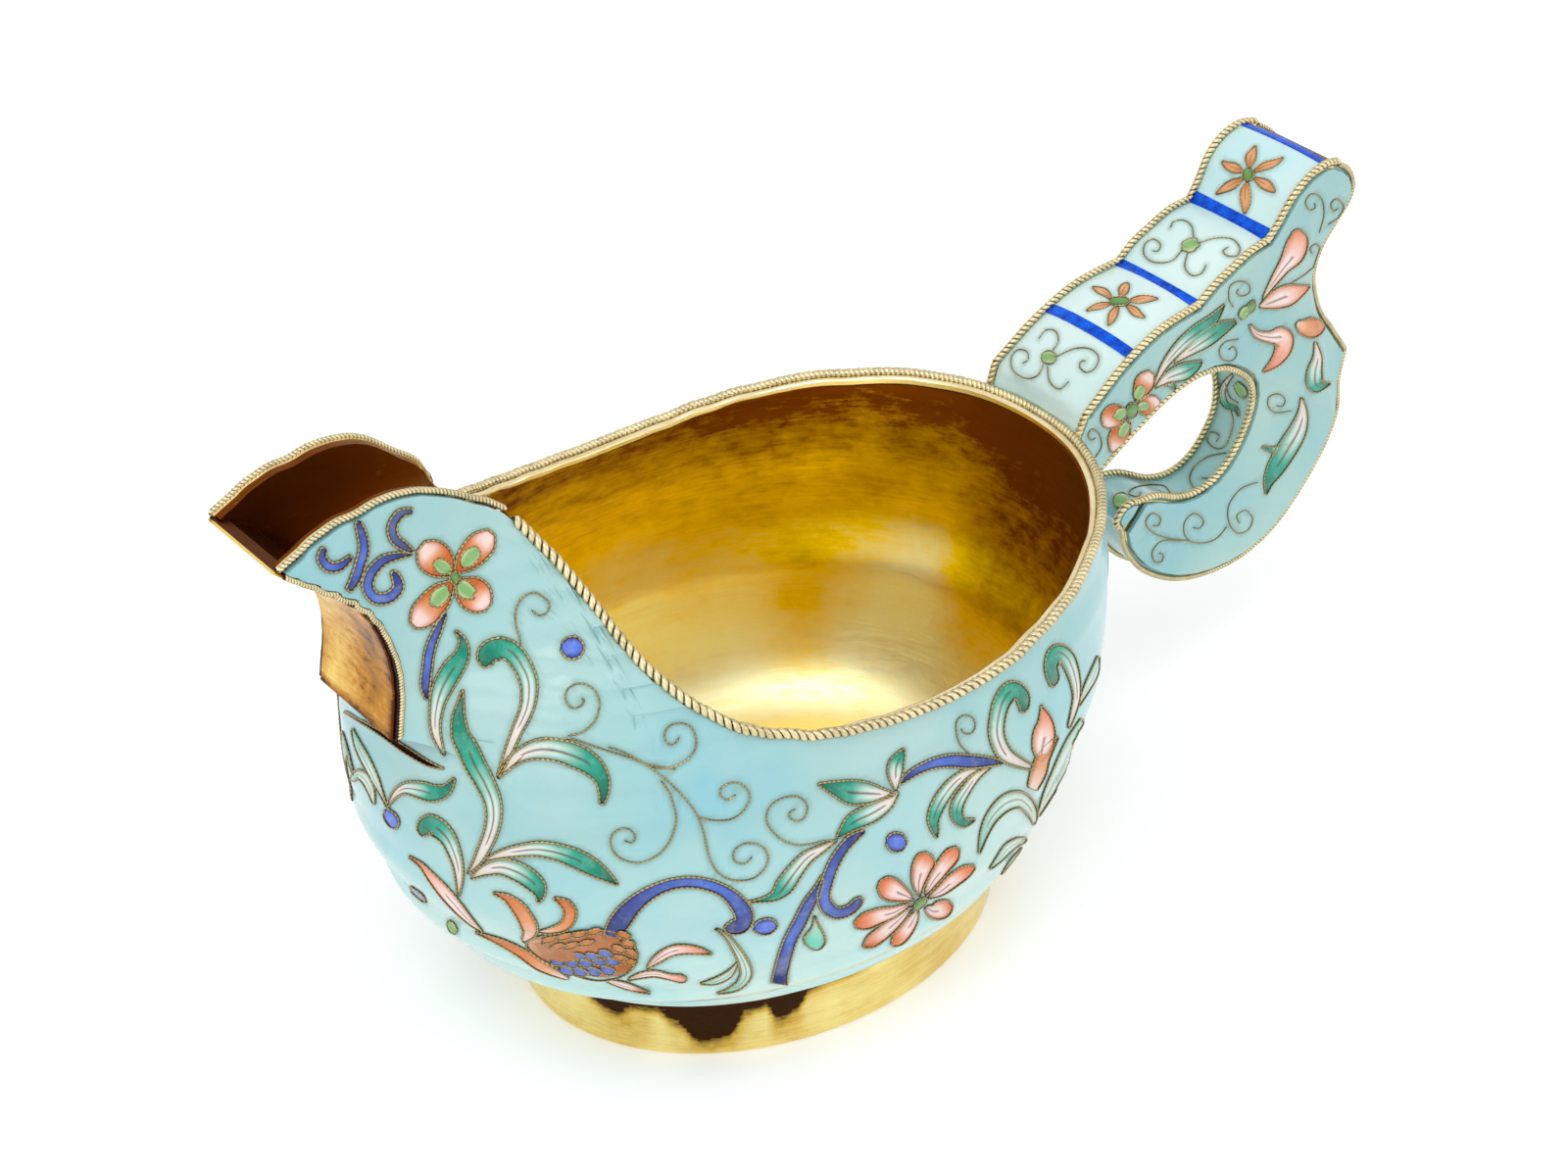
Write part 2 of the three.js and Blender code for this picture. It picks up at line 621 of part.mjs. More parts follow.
function rootRun(halfWidth, side) {
  return rootHeightShares.map((share) => {
    const height = handleBottomHeight + share * handleHeight;
    const nearRope = height > rimHeight(rimBackReach, side) - 2 * rimRopeDiameter;
    const rimRoom = nearRope ? rimRopeDiameter / 2 - ropeInset : 0;
    return new THREE.Vector2(wallReach(height, halfWidth) + fitGap + rimRoom, height);
  });
}

function sidePlate(side, shallow, deep) {
  const drawn = [topEdge, backWay, loopWay].flatMap((run) => moved(run, sideInset));
  const outline = new THREE.Shape([...drawn, ...rootRun(handleHalfWidth, side)]);
  const slab = new THREE.ExtrudeGeometry(outline, { depth: 1, bevelEnabled: false });
  const place = slab.getAttribute("position");
  const points = Array.from({ length: place.count }, (_, i) => {
    const [x, z, t] = [place.getX(i), place.getY(i), place.getZ(i)];
    return [x, side * (halfWidthAt(x, z, side) - THREE.MathUtils.lerp(shallow, deep, t)), z];
  });
  return closedGeometry(points.flat(), points.map((_, i) => i));
}
addPair("handle_side", (side) => sidePlate(side, skinDepth, stripDepth), "gilt");
addPair("handle_enamel", (side) => sidePlate(side, 0, panelThickness), "enamel");

// Rope wires along the handle's edges
const wireInset = stripDepth / 2 + enamelSeat;

function edgeWire(run, side, diameter, steps) {
  const points = moved(run, -diameter / 2 + enamelSeat).map((point) => new THREE.Vector3(
    point.x, side * (halfWidthAt(point.x, point.y, side) - wireInset), point.y,
  ));
  return wire(points, diameter, steps);
}
addPair("handle_top_rope", (side) => edgeWire(topEdge, side, strapRopeDiameter, 26), "giltWire");
addPair("handle_back_wire", (side) => edgeWire(backWay, side, backWireDiameter, 44), "giltWire");
addPair("handle_loop_rope", (side) => edgeWire(loopWay, side, strapRopeDiameter, 26), "giltWire");

export default kovsh;
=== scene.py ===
"""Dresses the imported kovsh: a silver-gilt drinking vessel with enamel ornament in wire cells.

Sizes are millimetres in the part's own frame (+X to the handle, +Z up, near side at -Y), and
meshes are written in metres. The ornament is drawn where the 1600 x 1200 photograph shows it, cast
onto the enamel it lies on, and carried over to the far side.
"""
import logging
import math
from bisect import bisect_right
from dataclasses import dataclass, field, replace
from enum import Enum
from itertools import accumulate
from typing import Callable, Optional, Sequence, Union

import bmesh
import bpy
from mathutils import Matrix, Vector
from mathutils.bvhtree import BVHTree
from mathutils.kdtree import KDTree


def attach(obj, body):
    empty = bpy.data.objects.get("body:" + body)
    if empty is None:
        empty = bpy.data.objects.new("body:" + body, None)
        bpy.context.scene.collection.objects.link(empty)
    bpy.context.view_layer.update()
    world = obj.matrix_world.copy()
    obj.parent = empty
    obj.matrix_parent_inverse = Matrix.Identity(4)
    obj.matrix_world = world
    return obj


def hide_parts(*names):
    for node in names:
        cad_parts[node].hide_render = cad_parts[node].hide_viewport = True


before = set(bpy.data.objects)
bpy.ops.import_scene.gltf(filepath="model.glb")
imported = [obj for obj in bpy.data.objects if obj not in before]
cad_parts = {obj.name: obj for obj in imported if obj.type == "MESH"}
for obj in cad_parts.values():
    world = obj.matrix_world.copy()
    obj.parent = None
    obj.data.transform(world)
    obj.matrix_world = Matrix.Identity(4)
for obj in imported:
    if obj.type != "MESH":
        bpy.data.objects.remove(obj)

log = logging.getLogger("kovsh")

MM = 0.001
FINE_COLUMNS = 600
"""Steps in which the rim is walked to space its columns evenly."""
PIXEL = 1 / 9
"""Size of one of the photograph's pixels on the vessel, in millimetres."""
WIRE_CREASE = 70
"""Angle in degrees past which an edge of a beaded wire stays sharp."""
ROPE_CREASE = 80
"""The same for a rope."""
NEARNESS = 1e-4
"""Distance in millimetres under which a cut takes a corner as lying on it."""
BEHIND = 200
"""X from which the back's ornament is cast, in millimetres."""
DARKEST = 1.6
"""Painted shade that leaves nothing bright."""

UP = Vector((0, 0, 1))

Pair = tuple[float, float]
Triple = tuple[float, float, float]
Loops = Sequence[Sequence[Vector]]
Socket = bpy.types.NodeSocket
Place = Callable[[float, float], Vector]
Trace = tuple[Pair, ...]
Rgb = Triple


class Side(Enum):
    """Side of the vessel, its value being the sign of Y."""

    NEAR = -1
    FAR = 1

    @property
    def label(self) -> str:
        """Its name in the pieces' names."""
        return self.name.lower()


def lerp(start: float, end: float, share: float) -> float:
    """Value at a share of the way between two others."""
    return start + (end - start) * share


def clamp(value: float, low: float = 0.0, high: float = 1.0) -> float:
    """Value kept between two limits."""
    return max(low, min(high, value))


def rising(value: float, start: float, room: float) -> float:
    """Nought to one over some room past a start, or one to nought where the room is negative."""
    return clamp((value - start) / room)


def bump(value: float, middle: float, reach: float) -> float:
    """One at a middle, falling off smoothly to both sides."""
    return math.exp(-((value - middle) / reach) ** 2)


def signed_power(value: float, power: float) -> float:
    """Power of a value's size, with the value's sign."""
    return math.copysign(abs(value) ** power, value)


def tint(red: int, green: int, blue: int) -> Rgb:
    """Linear colour of a screen colour given in 0 to 255.

    Args:
        red: Red on screen.
        green: Green on screen.
        blue: Blue on screen.

    Returns:
        The three linear values.
    """
    def linear(value: int) -> float:
        """Linear value of one channel."""
        share = value / 255
        return share / 12.92 if share <= 0.04045 else ((share + 0.055) / 1.055) ** 2.4

    return linear(red), linear(green), linear(blue)


def blend(first: Rgb, second: Rgb, share: float) -> Rgb:
    """Colour a share of the way from one to another."""
    return tuple(lerp(a, b, share) for a, b in zip(first, second))


def neighbours(row: Sequence) -> list[tuple]:
    """What stands before and after each of a row, an end being its own neighbour."""
    return list(zip([row[0], *row[:-1]], [*row[1:], row[-1]]))


class Curve:
    """Smooth curve through values at rising stops."""

    def __init__(self, stops: Sequence[float], values: Sequence[float]) -> None:
        """Works out the slope at each stop.

        Args:
            stops: Rising places.
            values: Value at each place.
        """
        self.stops = list(stops)
        self.values = list(values)
        self.slopes = [(top - low) / (end - start) for (low, top), (start, end)
                       in zip(neighbours(values), neighbours(stops))]

    def at(self, place: float) -> float:
        """Value of the curve at a place.

        Args:
            place: Where to read it, held to the ends past the last stops.

        Returns:
            The value.
        """
        i = max(0, min(bisect_right(self.stops, place) - 1, len(self.stops) - 2))
        span = self.stops[i + 1] - self.stops[i]
        t = clamp((place - self.stops[i]) / span)
        rise = self.values[i + 1] - self.values[i]
        ease = (t - 1) * ((t - 1) * self.slopes[i] * span - t * self.slopes[i + 1] * span)
        return self.values[i] + t * t * (3 - 2 * t) * rise + t * ease


def spline(points: Sequence[Sequence[float]], steps: int) -> list[tuple[float, ...]]:
    """Points along a smooth line through some given ones.

    Args:
        points: Points of any size, such as (x, y) or (x, y, width).
        steps: Spans between one given point and the next.

    Returns:
        The line's points, the given ones among them.
    """
    line = []
    last = len(points) - 1
    for i in range(last):
        before, here, there, after = (points[max(0, min(k, last))] for k in (i - 1, i, i + 1, i + 2))
        for step in range(steps):
            t = step / steps
            line.append(tuple(
                b + 0.5 * t * (c - a + t * (2 * a - 5 * b + 4 * c - d + t * (3 * (b - c) + d - a)))
                for a, b, c, d in zip(before, here, there, after)
            ))
    line.append(tuple(points[last]))
    return line


def distances(points: Sequence[Vector]) -> list[float]:
    """Distance of each corner of a line from its start, along the line."""
    spans = ((there - here).length for here, there in zip(points, points[1:]))
    return list(accumulate(spans, initial=0.0))


def marks(lengths: Sequence[float], count: int) -> list[tuple[int, float]]:
    """Evenly spaced places on a line.

    Args:
        lengths: Distance of each of its corners from its start.
        count: Number of spans wanted.

    Returns:
        For each place, the corner before it and the share of the way to the next.
    """
    found = []
    span = 0
    for step in range(count + 1):
        want = lengths[-1] * step / count
        while span < len(lengths) - 2 and lengths[span + 1] < want:
            span += 1
        room = lengths[span + 1] - lengths[span]
        found.append((span, clamp((want - lengths[span]) / room) if room else 0.0))
    return found


def evenly(points: Sequence[Vector], spacing: float) -> list[Vector]:
    """Points at an even spacing along a line.

    Args:
        points: Corners of the line.
        spacing: Distance wanted between points.

    Returns:
        The new points, from the line's first to its last.
    """
    lengths = distances(points)
    count = max(2, round(lengths[-1] / spacing))
    return [points[i].lerp(points[i + 1], share) for i, share in marks(lengths, count)]


def mirrored(place: Vector) -> Vector:
    """Same place on the other side of the vessel."""
    return Vector((place.x, -place.y, place.z))


def show(name: str, data: bpy.types.ID) -> bpy.types.Object:
    """Puts some data in the scene.

    Args:
        name: Name of the object.
        data: The data.

    Returns:
        The object.
    """
    obj = bpy.data.objects.new(name, data)
    bpy.context.scene.collection.objects.link(obj)
    return obj


@dataclass
class Sheet:
    """A mesh in the making, in millimetres, with painted values on its vertices."""

    mesh: bmesh.types.BMesh = field(default_factory=bmesh.new)

    def __post_init__(self) -> None:
        """Gives the mesh its two painted layers."""
        layers = self.mesh.verts.layers
        self.paint = layers.float_color.get("paint") or layers.float_color.new("paint")
        self.shade = layers.float.get("shade") or layers.float.new("shade")

    def grid(self, across: int, along: int, place: Place,
             colour: Optional[Callable[[float, float], Rgb]] = None,
             shade: Optional[Callable[[float, float], float]] = None) -> list[bmesh.types.BMVert]:
        """Adds a grid laid onto a surface.

        Args:
            across: Spans in the first direction.
            along: Spans in the second direction.
            place: Point for two shares of the grid, each 0 to 1.
            colour: Colour for the same shares.
            shade: Painted shade for the same shares.

        Returns:
            The grid's vertices.
        """
        verts = bmesh.ops.create_grid(self.mesh, x_segments=across, y_segments=along, size=0.5)["verts"]
        for vert in verts:
            u, v = vert.co.x + 0.5, vert.co.y + 0.5
            vert.co = place(u, v)
            if colour:
                vert[self.paint] = (*colour(u, v), 1.0)
            if shade:
                vert[self.shade] = shade(u, v)
        return verts

    def close(self, gap: float = 0.002) -> None:
        """Joins seams, fills open ends and turns the faces outwards.

        Args:
            gap: Distance under which vertices are one.
        """
        bmesh.ops.remove_doubles(self.mesh, verts=self.mesh.verts, dist=gap)
        bmesh.ops.dissolve_degenerate(self.mesh, edges=self.mesh.edges, dist=gap / 10)
        rims = [edge for edge in self.mesh.edges if edge.is_boundary]
        if rims:
            filled = bmesh.ops.holes_fill(self.mesh, edges=rims, sides=0)["faces"]
            bmesh.ops.triangulate(self.mesh, faces=filled)
        bmesh.ops.recalc_face_normals(self.mesh, faces=self.mesh.faces)

    def across(self, carry: Callable[[Vector], Vector]) -> "Sheet":
        """Copy of the sheet carried over to the other side.

        Args:
            carry: Where each point of this side comes to lie.

        Returns:
            The copy, its faces turned back outwards.
        """
        other = Sheet(self.mesh.copy())
        for vert in other.mesh.verts:
            vert.co = carry(vert.co)
        bmesh.ops.reverse_faces(other.mesh, faces=other.mesh.faces)
        return other

    def piece(self, name: str, finish: "Finish", *nodes: str, crease: float = 35) -> bpy.types.Object:
        """Makes the object, hangs it on the vessel and names what it stands for.

        Args:
            name: Name of the piece.
            finish: What it is made of.
            nodes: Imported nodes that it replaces.
            crease: Angle in degrees past which an edge stays sharp.

        Returns:
            The finished object.
        """
        bmesh.ops.scale(self.mesh, vec=(MM, MM, MM), verts=self.mesh.verts)
        data = bpy.data.meshes.new(name)
        self.mesh.to_mesh(data)
        self.mesh.free()
        data.shade_smooth()
        data.set_sharp_from_angle(angle=math.radians(crease))
        data.materials.append(finish.material())
        obj = show(name, data)
        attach(obj, "root")
        if nodes:
            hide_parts(*nodes)
        log.info("%s: %d faces, for %s", name, len(data.polygons), ", ".join(nodes) or "itself")
        return obj


class Nodes:
    """Node sheet of one material, or of the world."""

    def __init__(self, owner: Union[bpy.types.Material, bpy.types.World], shader: str) -> None:
        """Turns on the owner's nodes.

        Args:
            owner: The material or the world.
            shader: Name of its shader's node.
        """
        owner.use_nodes = True
        self.tree = owner.node_tree
        self.shader = self.tree.nodes[shader]

    def add(self, kind: str, **values: object) -> bpy.types.Node:
        """Adds a node.

        Args:
            kind: Blender's name of the node type.
            values: Properties by their own names, and sockets by names with _ for a blank.

        Returns:
            The node.
        """
        node = self.tree.nodes.new(kind)
        for key, value in values.items():
            if hasattr(node, key):
                setattr(node, key, value)
            else:
                node.inputs[key.replace("_", " ")].default_value = value
        return node

    def join(self, source: Socket, target: Socket) -> None:
        """Links one socket to another."""
        self.tree.links.new(source, target)

    def here(self, scale: Triple) -> Socket:
        """Object coordinates in millimetres times a scale.

        Args:
            scale: Factor for each axis.

        Returns:
            The coordinates' socket.
        """
        coordinates = self.add("ShaderNodeTexCoord")
        mapping = self.add("ShaderNodeMapping")
        mapping.inputs["Scale"].default_value = tuple(s / MM for s in scale)
        self.join(coordinates.outputs["Object"], mapping.inputs["Vector"])
        return mapping.outputs["Vector"]

    def noise(self, scale: Union[float, Triple], detail: float = 3, rough: float = 0.55) -> Socket:
        """Cloudy noise over the piece.

        Args:
            scale: Clouds per millimetre, on each axis if they differ.
            detail: Levels of finer clouds.
            rough: Strength of the finer clouds.

        Returns:
            The noise's value socket.
        """
        node = self.add("ShaderNodeTexNoise", Scale=1.0, Detail=detail, Roughness=rough)
        self.join(self.here(scale if isinstance(scale, tuple) else (scale,) * 3), node.inputs["Vector"])
        return node.outputs["Fac"]

    def ramp(self, source: Socket, *stops: tuple[float, Rgb]) -> Socket:
        """Colours along a value.

        Args:
            source: The value.
            stops: Place and colour of each stop.

        Returns:
            The colour socket.
        """
        node = self.add("ShaderNodeValToRGB")
        while len(node.color_ramp.elements) < len(stops):
            node.color_ramp.elements.new(0.5)
        for element, (place, colour) in zip(node.color_ramp.elements, stops):
            element.position = place
            element.color = (*colour, 1.0)
        self.join(source, node.inputs["Fac"])
        return node.outputs["Color"]

    def mix(self, share: Socket, first: Union[Socket, Rgb], second: Union[Socket, Rgb],
            kind: str = "MIX") -> Socket:
        """Mix of two colours, each a socket or a colour.

        Args:
            share: How much of the second.
            first: First colour.
            second: Second colour.
            kind: Blend type.

        Returns:
            The mixed colour's socket.
        """
        node = self.add("ShaderNodeMix", data_type="RGBA", blend_type=kind)
        self.join(share, node.inputs["Factor"])
        # The colour sockets share their names with those for numbers and vectors, and come after them
        for source, socket in ((first, node.inputs[6]), (second, node.inputs[7])):
            if isinstance(source, tuple):
                socket.default_value = (*source, 1.0)
            else:
                self.join(source, socket)
        return node.outputs[2]

    def span(self, source: Socket, low: float, high: float, start: float = 0, end: float = 1) -> Socket:
        """Value stretched from one range to another and held inside it.

        Args:
            source: The value.
            low: Its value at the start.
            high: Its value at the end.
            start: What it becomes at low.
            end: What it becomes at high.

        Returns:
            The new value's socket.
        """
        node = self.add("ShaderNodeMapRange")
        for name, value in (("From Min", low), ("From Max", high), ("To Min", start), ("To Max", end)):
            node.inputs[name].default_value = value
        self.join(source, node.inputs["Value"])
        return node.outputs["Result"]

    def calculated(self, operation: str, *values: Socket) -> Socket:
        """Values put together one after another.

        Args:
            operation: Blender's name of what is done with each two.
            values: The values.

        Returns:
            The result's socket.
        """
        total = values[0]
        for value in values[1:]:
            node = self.add("ShaderNodeMath", operation=operation)
            self.join(total, node.inputs[0])
            self.join(value, node.inputs[1])
            total = node.outputs["Value"]
        return total

    def paint(self) -> Socket:
        """Painted colour."""
        return self.add("ShaderNodeAttribute", attribute_name="paint").outputs["Color"]

    def shade(self) -> Socket:
        """Painted shade."""
        return self.add("ShaderNodeAttribute", attribute_name="shade").outputs["Fac"]

    def relief(self, *heights: tuple[Socket, float]) -> None:
        """Bumps on the surface.

        Args:
            heights: Height sockets, each with its depth in millimetres.
        """
        below = None
        for source, depth in heights:
            node = self.add("ShaderNodeBump", Strength=1.0, Distance=depth * MM)
            self.join(source, node.inputs["Height"])
            if below:
                self.join(below, node.inputs["Normal"])
            below = node.outputs["Normal"]
        self.join(below, self.shader.inputs["Normal"])

    def colour(self, source: Socket) -> None:
        """Sets the shader's colour."""
        self.join(source, self.shader.inputs["Base Color"])

    def rough(self, source: Socket) -> None:
        """Sets the shader's roughness."""
        self.join(source, self.shader.inputs["Roughness"])

    def fixed(self, **values: float) -> None:
        """Sets plain numbers on the shader, by socket names with _ for a blank."""
        for key, value in values.items():
            self.shader.inputs[key.replace("_", " ")].default_value = value


class Finish:
    """A finish, made into a material once."""

    slot = "gilt"
    made: dict["Finish", bpy.types.Material] = {}

    def material(self) -> bpy.types.Material:
        """The finish's material.

        Returns:
            The same one every time.
        """
        if self not in Finish.made:
            material = bpy.data.materials.new(f"{type(self).__name__}{len(Finish.made)}")
            self.dress(Nodes(material, "Principled BSDF"))
            Finish.made[self] = material
        return Finish.made[self]

    def dress(self, nodes: Nodes) -> None:
        """Lays out the finish's nodes."""
        raise NotImplementedError

    def coat(self, node: str) -> None:
        """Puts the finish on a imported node.

        Args:
            node: Its name.
        """
        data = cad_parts[node].data
        data.materials.clear()
        data.materials.append(self.material())


@dataclass(frozen=True)
class Gilt(Finish):
    """Gilded silver with brush lines, clouds and stains, darkened toward brown by painted shade and
    reflections.

    Attributes:
        bright: Colour where neither painted shade nor stains darken it.
        warm: Colour half way to the darkest one.
        tarnish_and_shade: Colour of the darkest stains and of the deepest painted shade.
        grain: Roughness of the metal.
        brushing: Depth of the brush lines, in millimetres.
        patches: Clouds per millimetre.
        cloudy: How far the clouds darken it.
        streaky: How far the brush lines darken it.
        stained: How far the stains darken it.
        ragged: How uneven the painted shade is.
        stops: Tones at which it has its three colours.
        brush_scale: Brush lines per millimetre on each axis.
        stain_scale: Stains per millimetre on each axis.
    """

    bright: Rgb = tint(236, 214, 140)
    warm: Rgb = tint(203, 150, 52)
    tarnish_and_shade: Rgb = tint(70, 36, 12)
    grain: float = 0.3
    brushing: float = 0.006
    patches: float = 0.12
    cloudy: float = 0.25
    streaky: float = 0.14
    stained: float = 0.0
    ragged: float = 0.3
    stops: Triple = (0.04, 0.42, 0.92)
    brush_scale: Triple = (0.12, 0.35, 3.2)
    stain_scale: Triple = (0.3, 0.4, 0.7)

    def dress(self, nodes: Nodes) -> None:
        """Lays out brushed gilt.

        Args:
            nodes: The material's node sheet.
        """
        clouds = nodes.noise(self.patches, 4, 0.6)
        brush = nodes.noise(self.brush_scale, 3, 0.7)
        stains = nodes.noise(self.stain_scale, 5, 0.7)
        uneven = nodes.span(stains, 0.32, 0.62, 1 - self.ragged, 1 + self.ragged)
        # Tone: the painted shade, made uneven by the stains, with clouds, brush lines and stains added
        tone = nodes.calculated("ADD", nodes.calculated("MULTIPLY", uneven, nodes.shade()),
                                nodes.span(clouds, 0.38, 0.68, 0, self.cloudy),
                                nodes.span(brush, 0.35, 0.7, 0, self.streaky),
                                nodes.span(stains, 0.55, 0.75, 0, self.stained))
        nodes.colour(nodes.ramp(tone, *zip(self.stops, (self.bright, self.warm, self.tarnish_and_shade))))
        nodes.rough(nodes.span(brush, 0.3, 0.7, self.grain - 0.05, self.grain + 0.1))
        nodes.relief((brush, self.brushing), (clouds, self.brushing * 4))
        nodes.fixed(Metallic=1.0)


@dataclass(frozen=True)
class Wire(Finish):
    """Gilt wire, dark in its recesses where the shade is painted.

    Attributes:
        high: Colour of the rubbed tops, outside the painted shade.
        low: Colour of the painted shade in the recesses and on the flanks.
    """

    high: Rgb = tint(234, 218, 172)
    low: Rgb = tint(44, 32, 18)

    slot = "gilt_wire"

    def dress(self, nodes: Nodes) -> None:
        """Lays out worn wire.

        Args:
            nodes: The material's node sheet.
        """
        wear = nodes.noise(0.5, 3, 0.6)
        top = nodes.ramp(wear, (0.3, blend(self.high, self.low, 0.3)), (0.62, self.high))
        # Painted shade darkens the recesses and flanks toward the low colour
        nodes.colour(nodes.mix(nodes.span(nodes.shade(), 0.2, 0.85), top, self.low))
        nodes.rough(nodes.span(wear, 0.3, 0.7, 0.26, 0.4))
        nodes.relief((nodes.noise(4, 2), 0.01))
        nodes.fixed(Metallic=1.0)


@dataclass(frozen=True)
class Ground(Finish):
    """Plain enamel field, bluer in clouds, darker along the wires where the shade attribute is painted, and
    with painted shade darker toward the rim.

    Attributes:
        pale: Colour of the field.
        blue: Colour of its bluer clouds.
        milky: Colour of its milky clouds.
        dirt: Colour along the wires.
        high: Tone of the painted shade that it takes on toward the rim.
        height_shade_strength: How far.
        height_shading: Heights between which that painted shade sets in.
        soiled: How far the darkening along the wires reaches its colour.
        slot: Name of a material slot; not used.
    """

    pale: Rgb = tint(192, 231, 227)
    blue: Rgb = tint(174, 226, 232)
    milky: Rgb = tint(214, 238, 229)
    dirt: Rgb = tint(112, 140, 116)
    high: Rgb = tint(202, 220, 226)
    height_shade_strength: float = 1.0
    height_shading: Pair = (12, 42)
    soiled: float = 0.62
    slot: str = "enamel"

    def dress(self, nodes: Nodes) -> None:
        """Lays out glossy enamel.

        Args:
            nodes: The material's node sheet.
        """
        wide = nodes.noise(0.045, 2, 0.5)
        clouds = nodes.noise(0.16)
        field_colour = nodes.ramp(wide, (0.36, self.blue), (0.52, self.pale), (0.7, self.milky))
        mottled = nodes.mix(nodes.span(clouds, 0.4, 0.75, 0, 0.5), field_colour, self.milky)
        # Painted shade: the field is multiplied darker from low on the wall up toward the rim
        split = nodes.add("ShaderNodeSeparateXYZ")
        nodes.join(nodes.here((1, 1, 1)), split.inputs["Vector"])
        rise = nodes.span(split.outputs["Z"], *self.height_shading, 0, self.height_shade_strength)
        height_shading = nodes.mix(rise, mottled, self.high, "MULTIPLY")
        # Darker along the wires, where the shade attribute is painted
        nodes.colour(nodes.mix(nodes.span(nodes.shade(), 0.1, 1.0, 0, self.soiled), height_shading, self.dirt))
        nodes.rough(nodes.span(clouds, 0.3, 0.7, 0.14, 0.26))
        nodes.relief((nodes.noise(0.28, 2), 0.12), (nodes.noise(1.8, 2), 0.01))
        nodes.fixed(Coat_Weight=0.3, Coat_Roughness=0.06, IOR=1.4)


@dataclass(frozen=True)
class Shaded(Finish):
    """Cell enamel in painted colours, streaked like brush strokes.

    Attributes:
        light: Colour of its light streaks.
        deep: Colour of its dark streaks.
    """

    light: Rgb = tint(232, 236, 228)
    deep: Rgb = tint(60, 70, 60)

    slot = "enamel"

    def dress(self, nodes: Nodes) -> None:
        """Lays out painted enamel.

        Args:
            nodes: The material's node sheet.
        """
        streaks = nodes.noise(0.8, 4, 0.7)
        lighter = nodes.mix(nodes.span(streaks, 0.48, 0.8, 0, 0.16), nodes.paint(), self.light)
        nodes.colour(nodes.mix(nodes.span(streaks, 0.42, 0.2, 0, 0.3), lighter, self.deep))
        nodes.rough(nodes.span(streaks, 0.3, 0.7, 0.16, 0.3))
        nodes.relief((streaks, 0.05))
        nodes.fixed(Coat_Weight=0.12, Coat_Roughness=0.08, IOR=1.3)


@dataclass(frozen=True)
class Cobalt(Finish):
    """Deep blue glassy enamel of the raised bars.

    Attributes:
        deep: Its darker colour.
        clear: Its lighter colour.
        dull: Its colour where the shade is painted.
    """

    deep: Rgb = tint(0, 52, 168)
    clear: Rgb = tint(0, 100, 236)
    dull: Rgb = tint(20, 26, 60)

    slot = "cobalt"

    def dress(self, nodes: Nodes) -> None:
        """Lays out cobalt enamel.

        Args:
            nodes: The material's node sheet.
        """
        clouds = nodes.noise(0.9, 4, 0.65)
        body = nodes.ramp(clouds, (0.35, self.deep), (0.65, self.clear))
        nodes.colour(nodes.mix(nodes.shade(), body, self.dull))
        nodes.rough(nodes.span(clouds, 0.3, 0.7, 0.12, 0.3))
        nodes.relief((clouds, 0.12))
        nodes.fixed(Coat_Weight=0.1, Coat_Roughness=0.05, IOR=1.2)


@dataclass(frozen=True)
class Recipe:
    """How one kind of cell is painted, along it from base to tip.

    Attributes:
        stops: Place along the cell and colour there.
        rim: Colour along its edges.
        edge: How much of the rim's colour the edges take.
        vein: Colour of the drawn line down its middle, if it has one.
        reach: Start and end of that line.
        inner: Where across the cell the rim's colour begins.
        fade: How far on from there it has its full strength.
        vein_half: Half width of the drawn line, as a share of the cell's.
        vein_strength: How much of the vein's colour it has.
    """

    stops: tuple[tuple[float, Rgb], ...]
    rim: Rgb
    edge: float
    vein: Optional[Rgb] = None
    reach: Pair = (0, 0)
    inner: float = 0.4
    fade: float = 0.45
    vein_half: float = 0.1
    vein_strength: float = 0.85

    def at(self, along: float, across: float) -> Rgb:
        """Colour at a place in the cell.

        Args:
            along: 0 at the base to 1 at the tip.
            across: -1 at one edge to 1 at the other.

        Returns:
            The linear colour.
        """
        colour = self.stops[-1][1]
        for (low, first), (high, second) in zip(self.stops, self.stops[1:]):
            if along <= high:
                colour = blend(first, second, clamp((along - low) / (high - low)))
                break
        colour = blend(colour, self.rim, self.edge * clamp((abs(across) - self.inner) / self.fade))
        if self.vein and self.reach[0] < along < self.reach[1] and abs(across) < self.vein_half:
            colour = blend(colour, self.vein, self.vein_strength)
        return colour


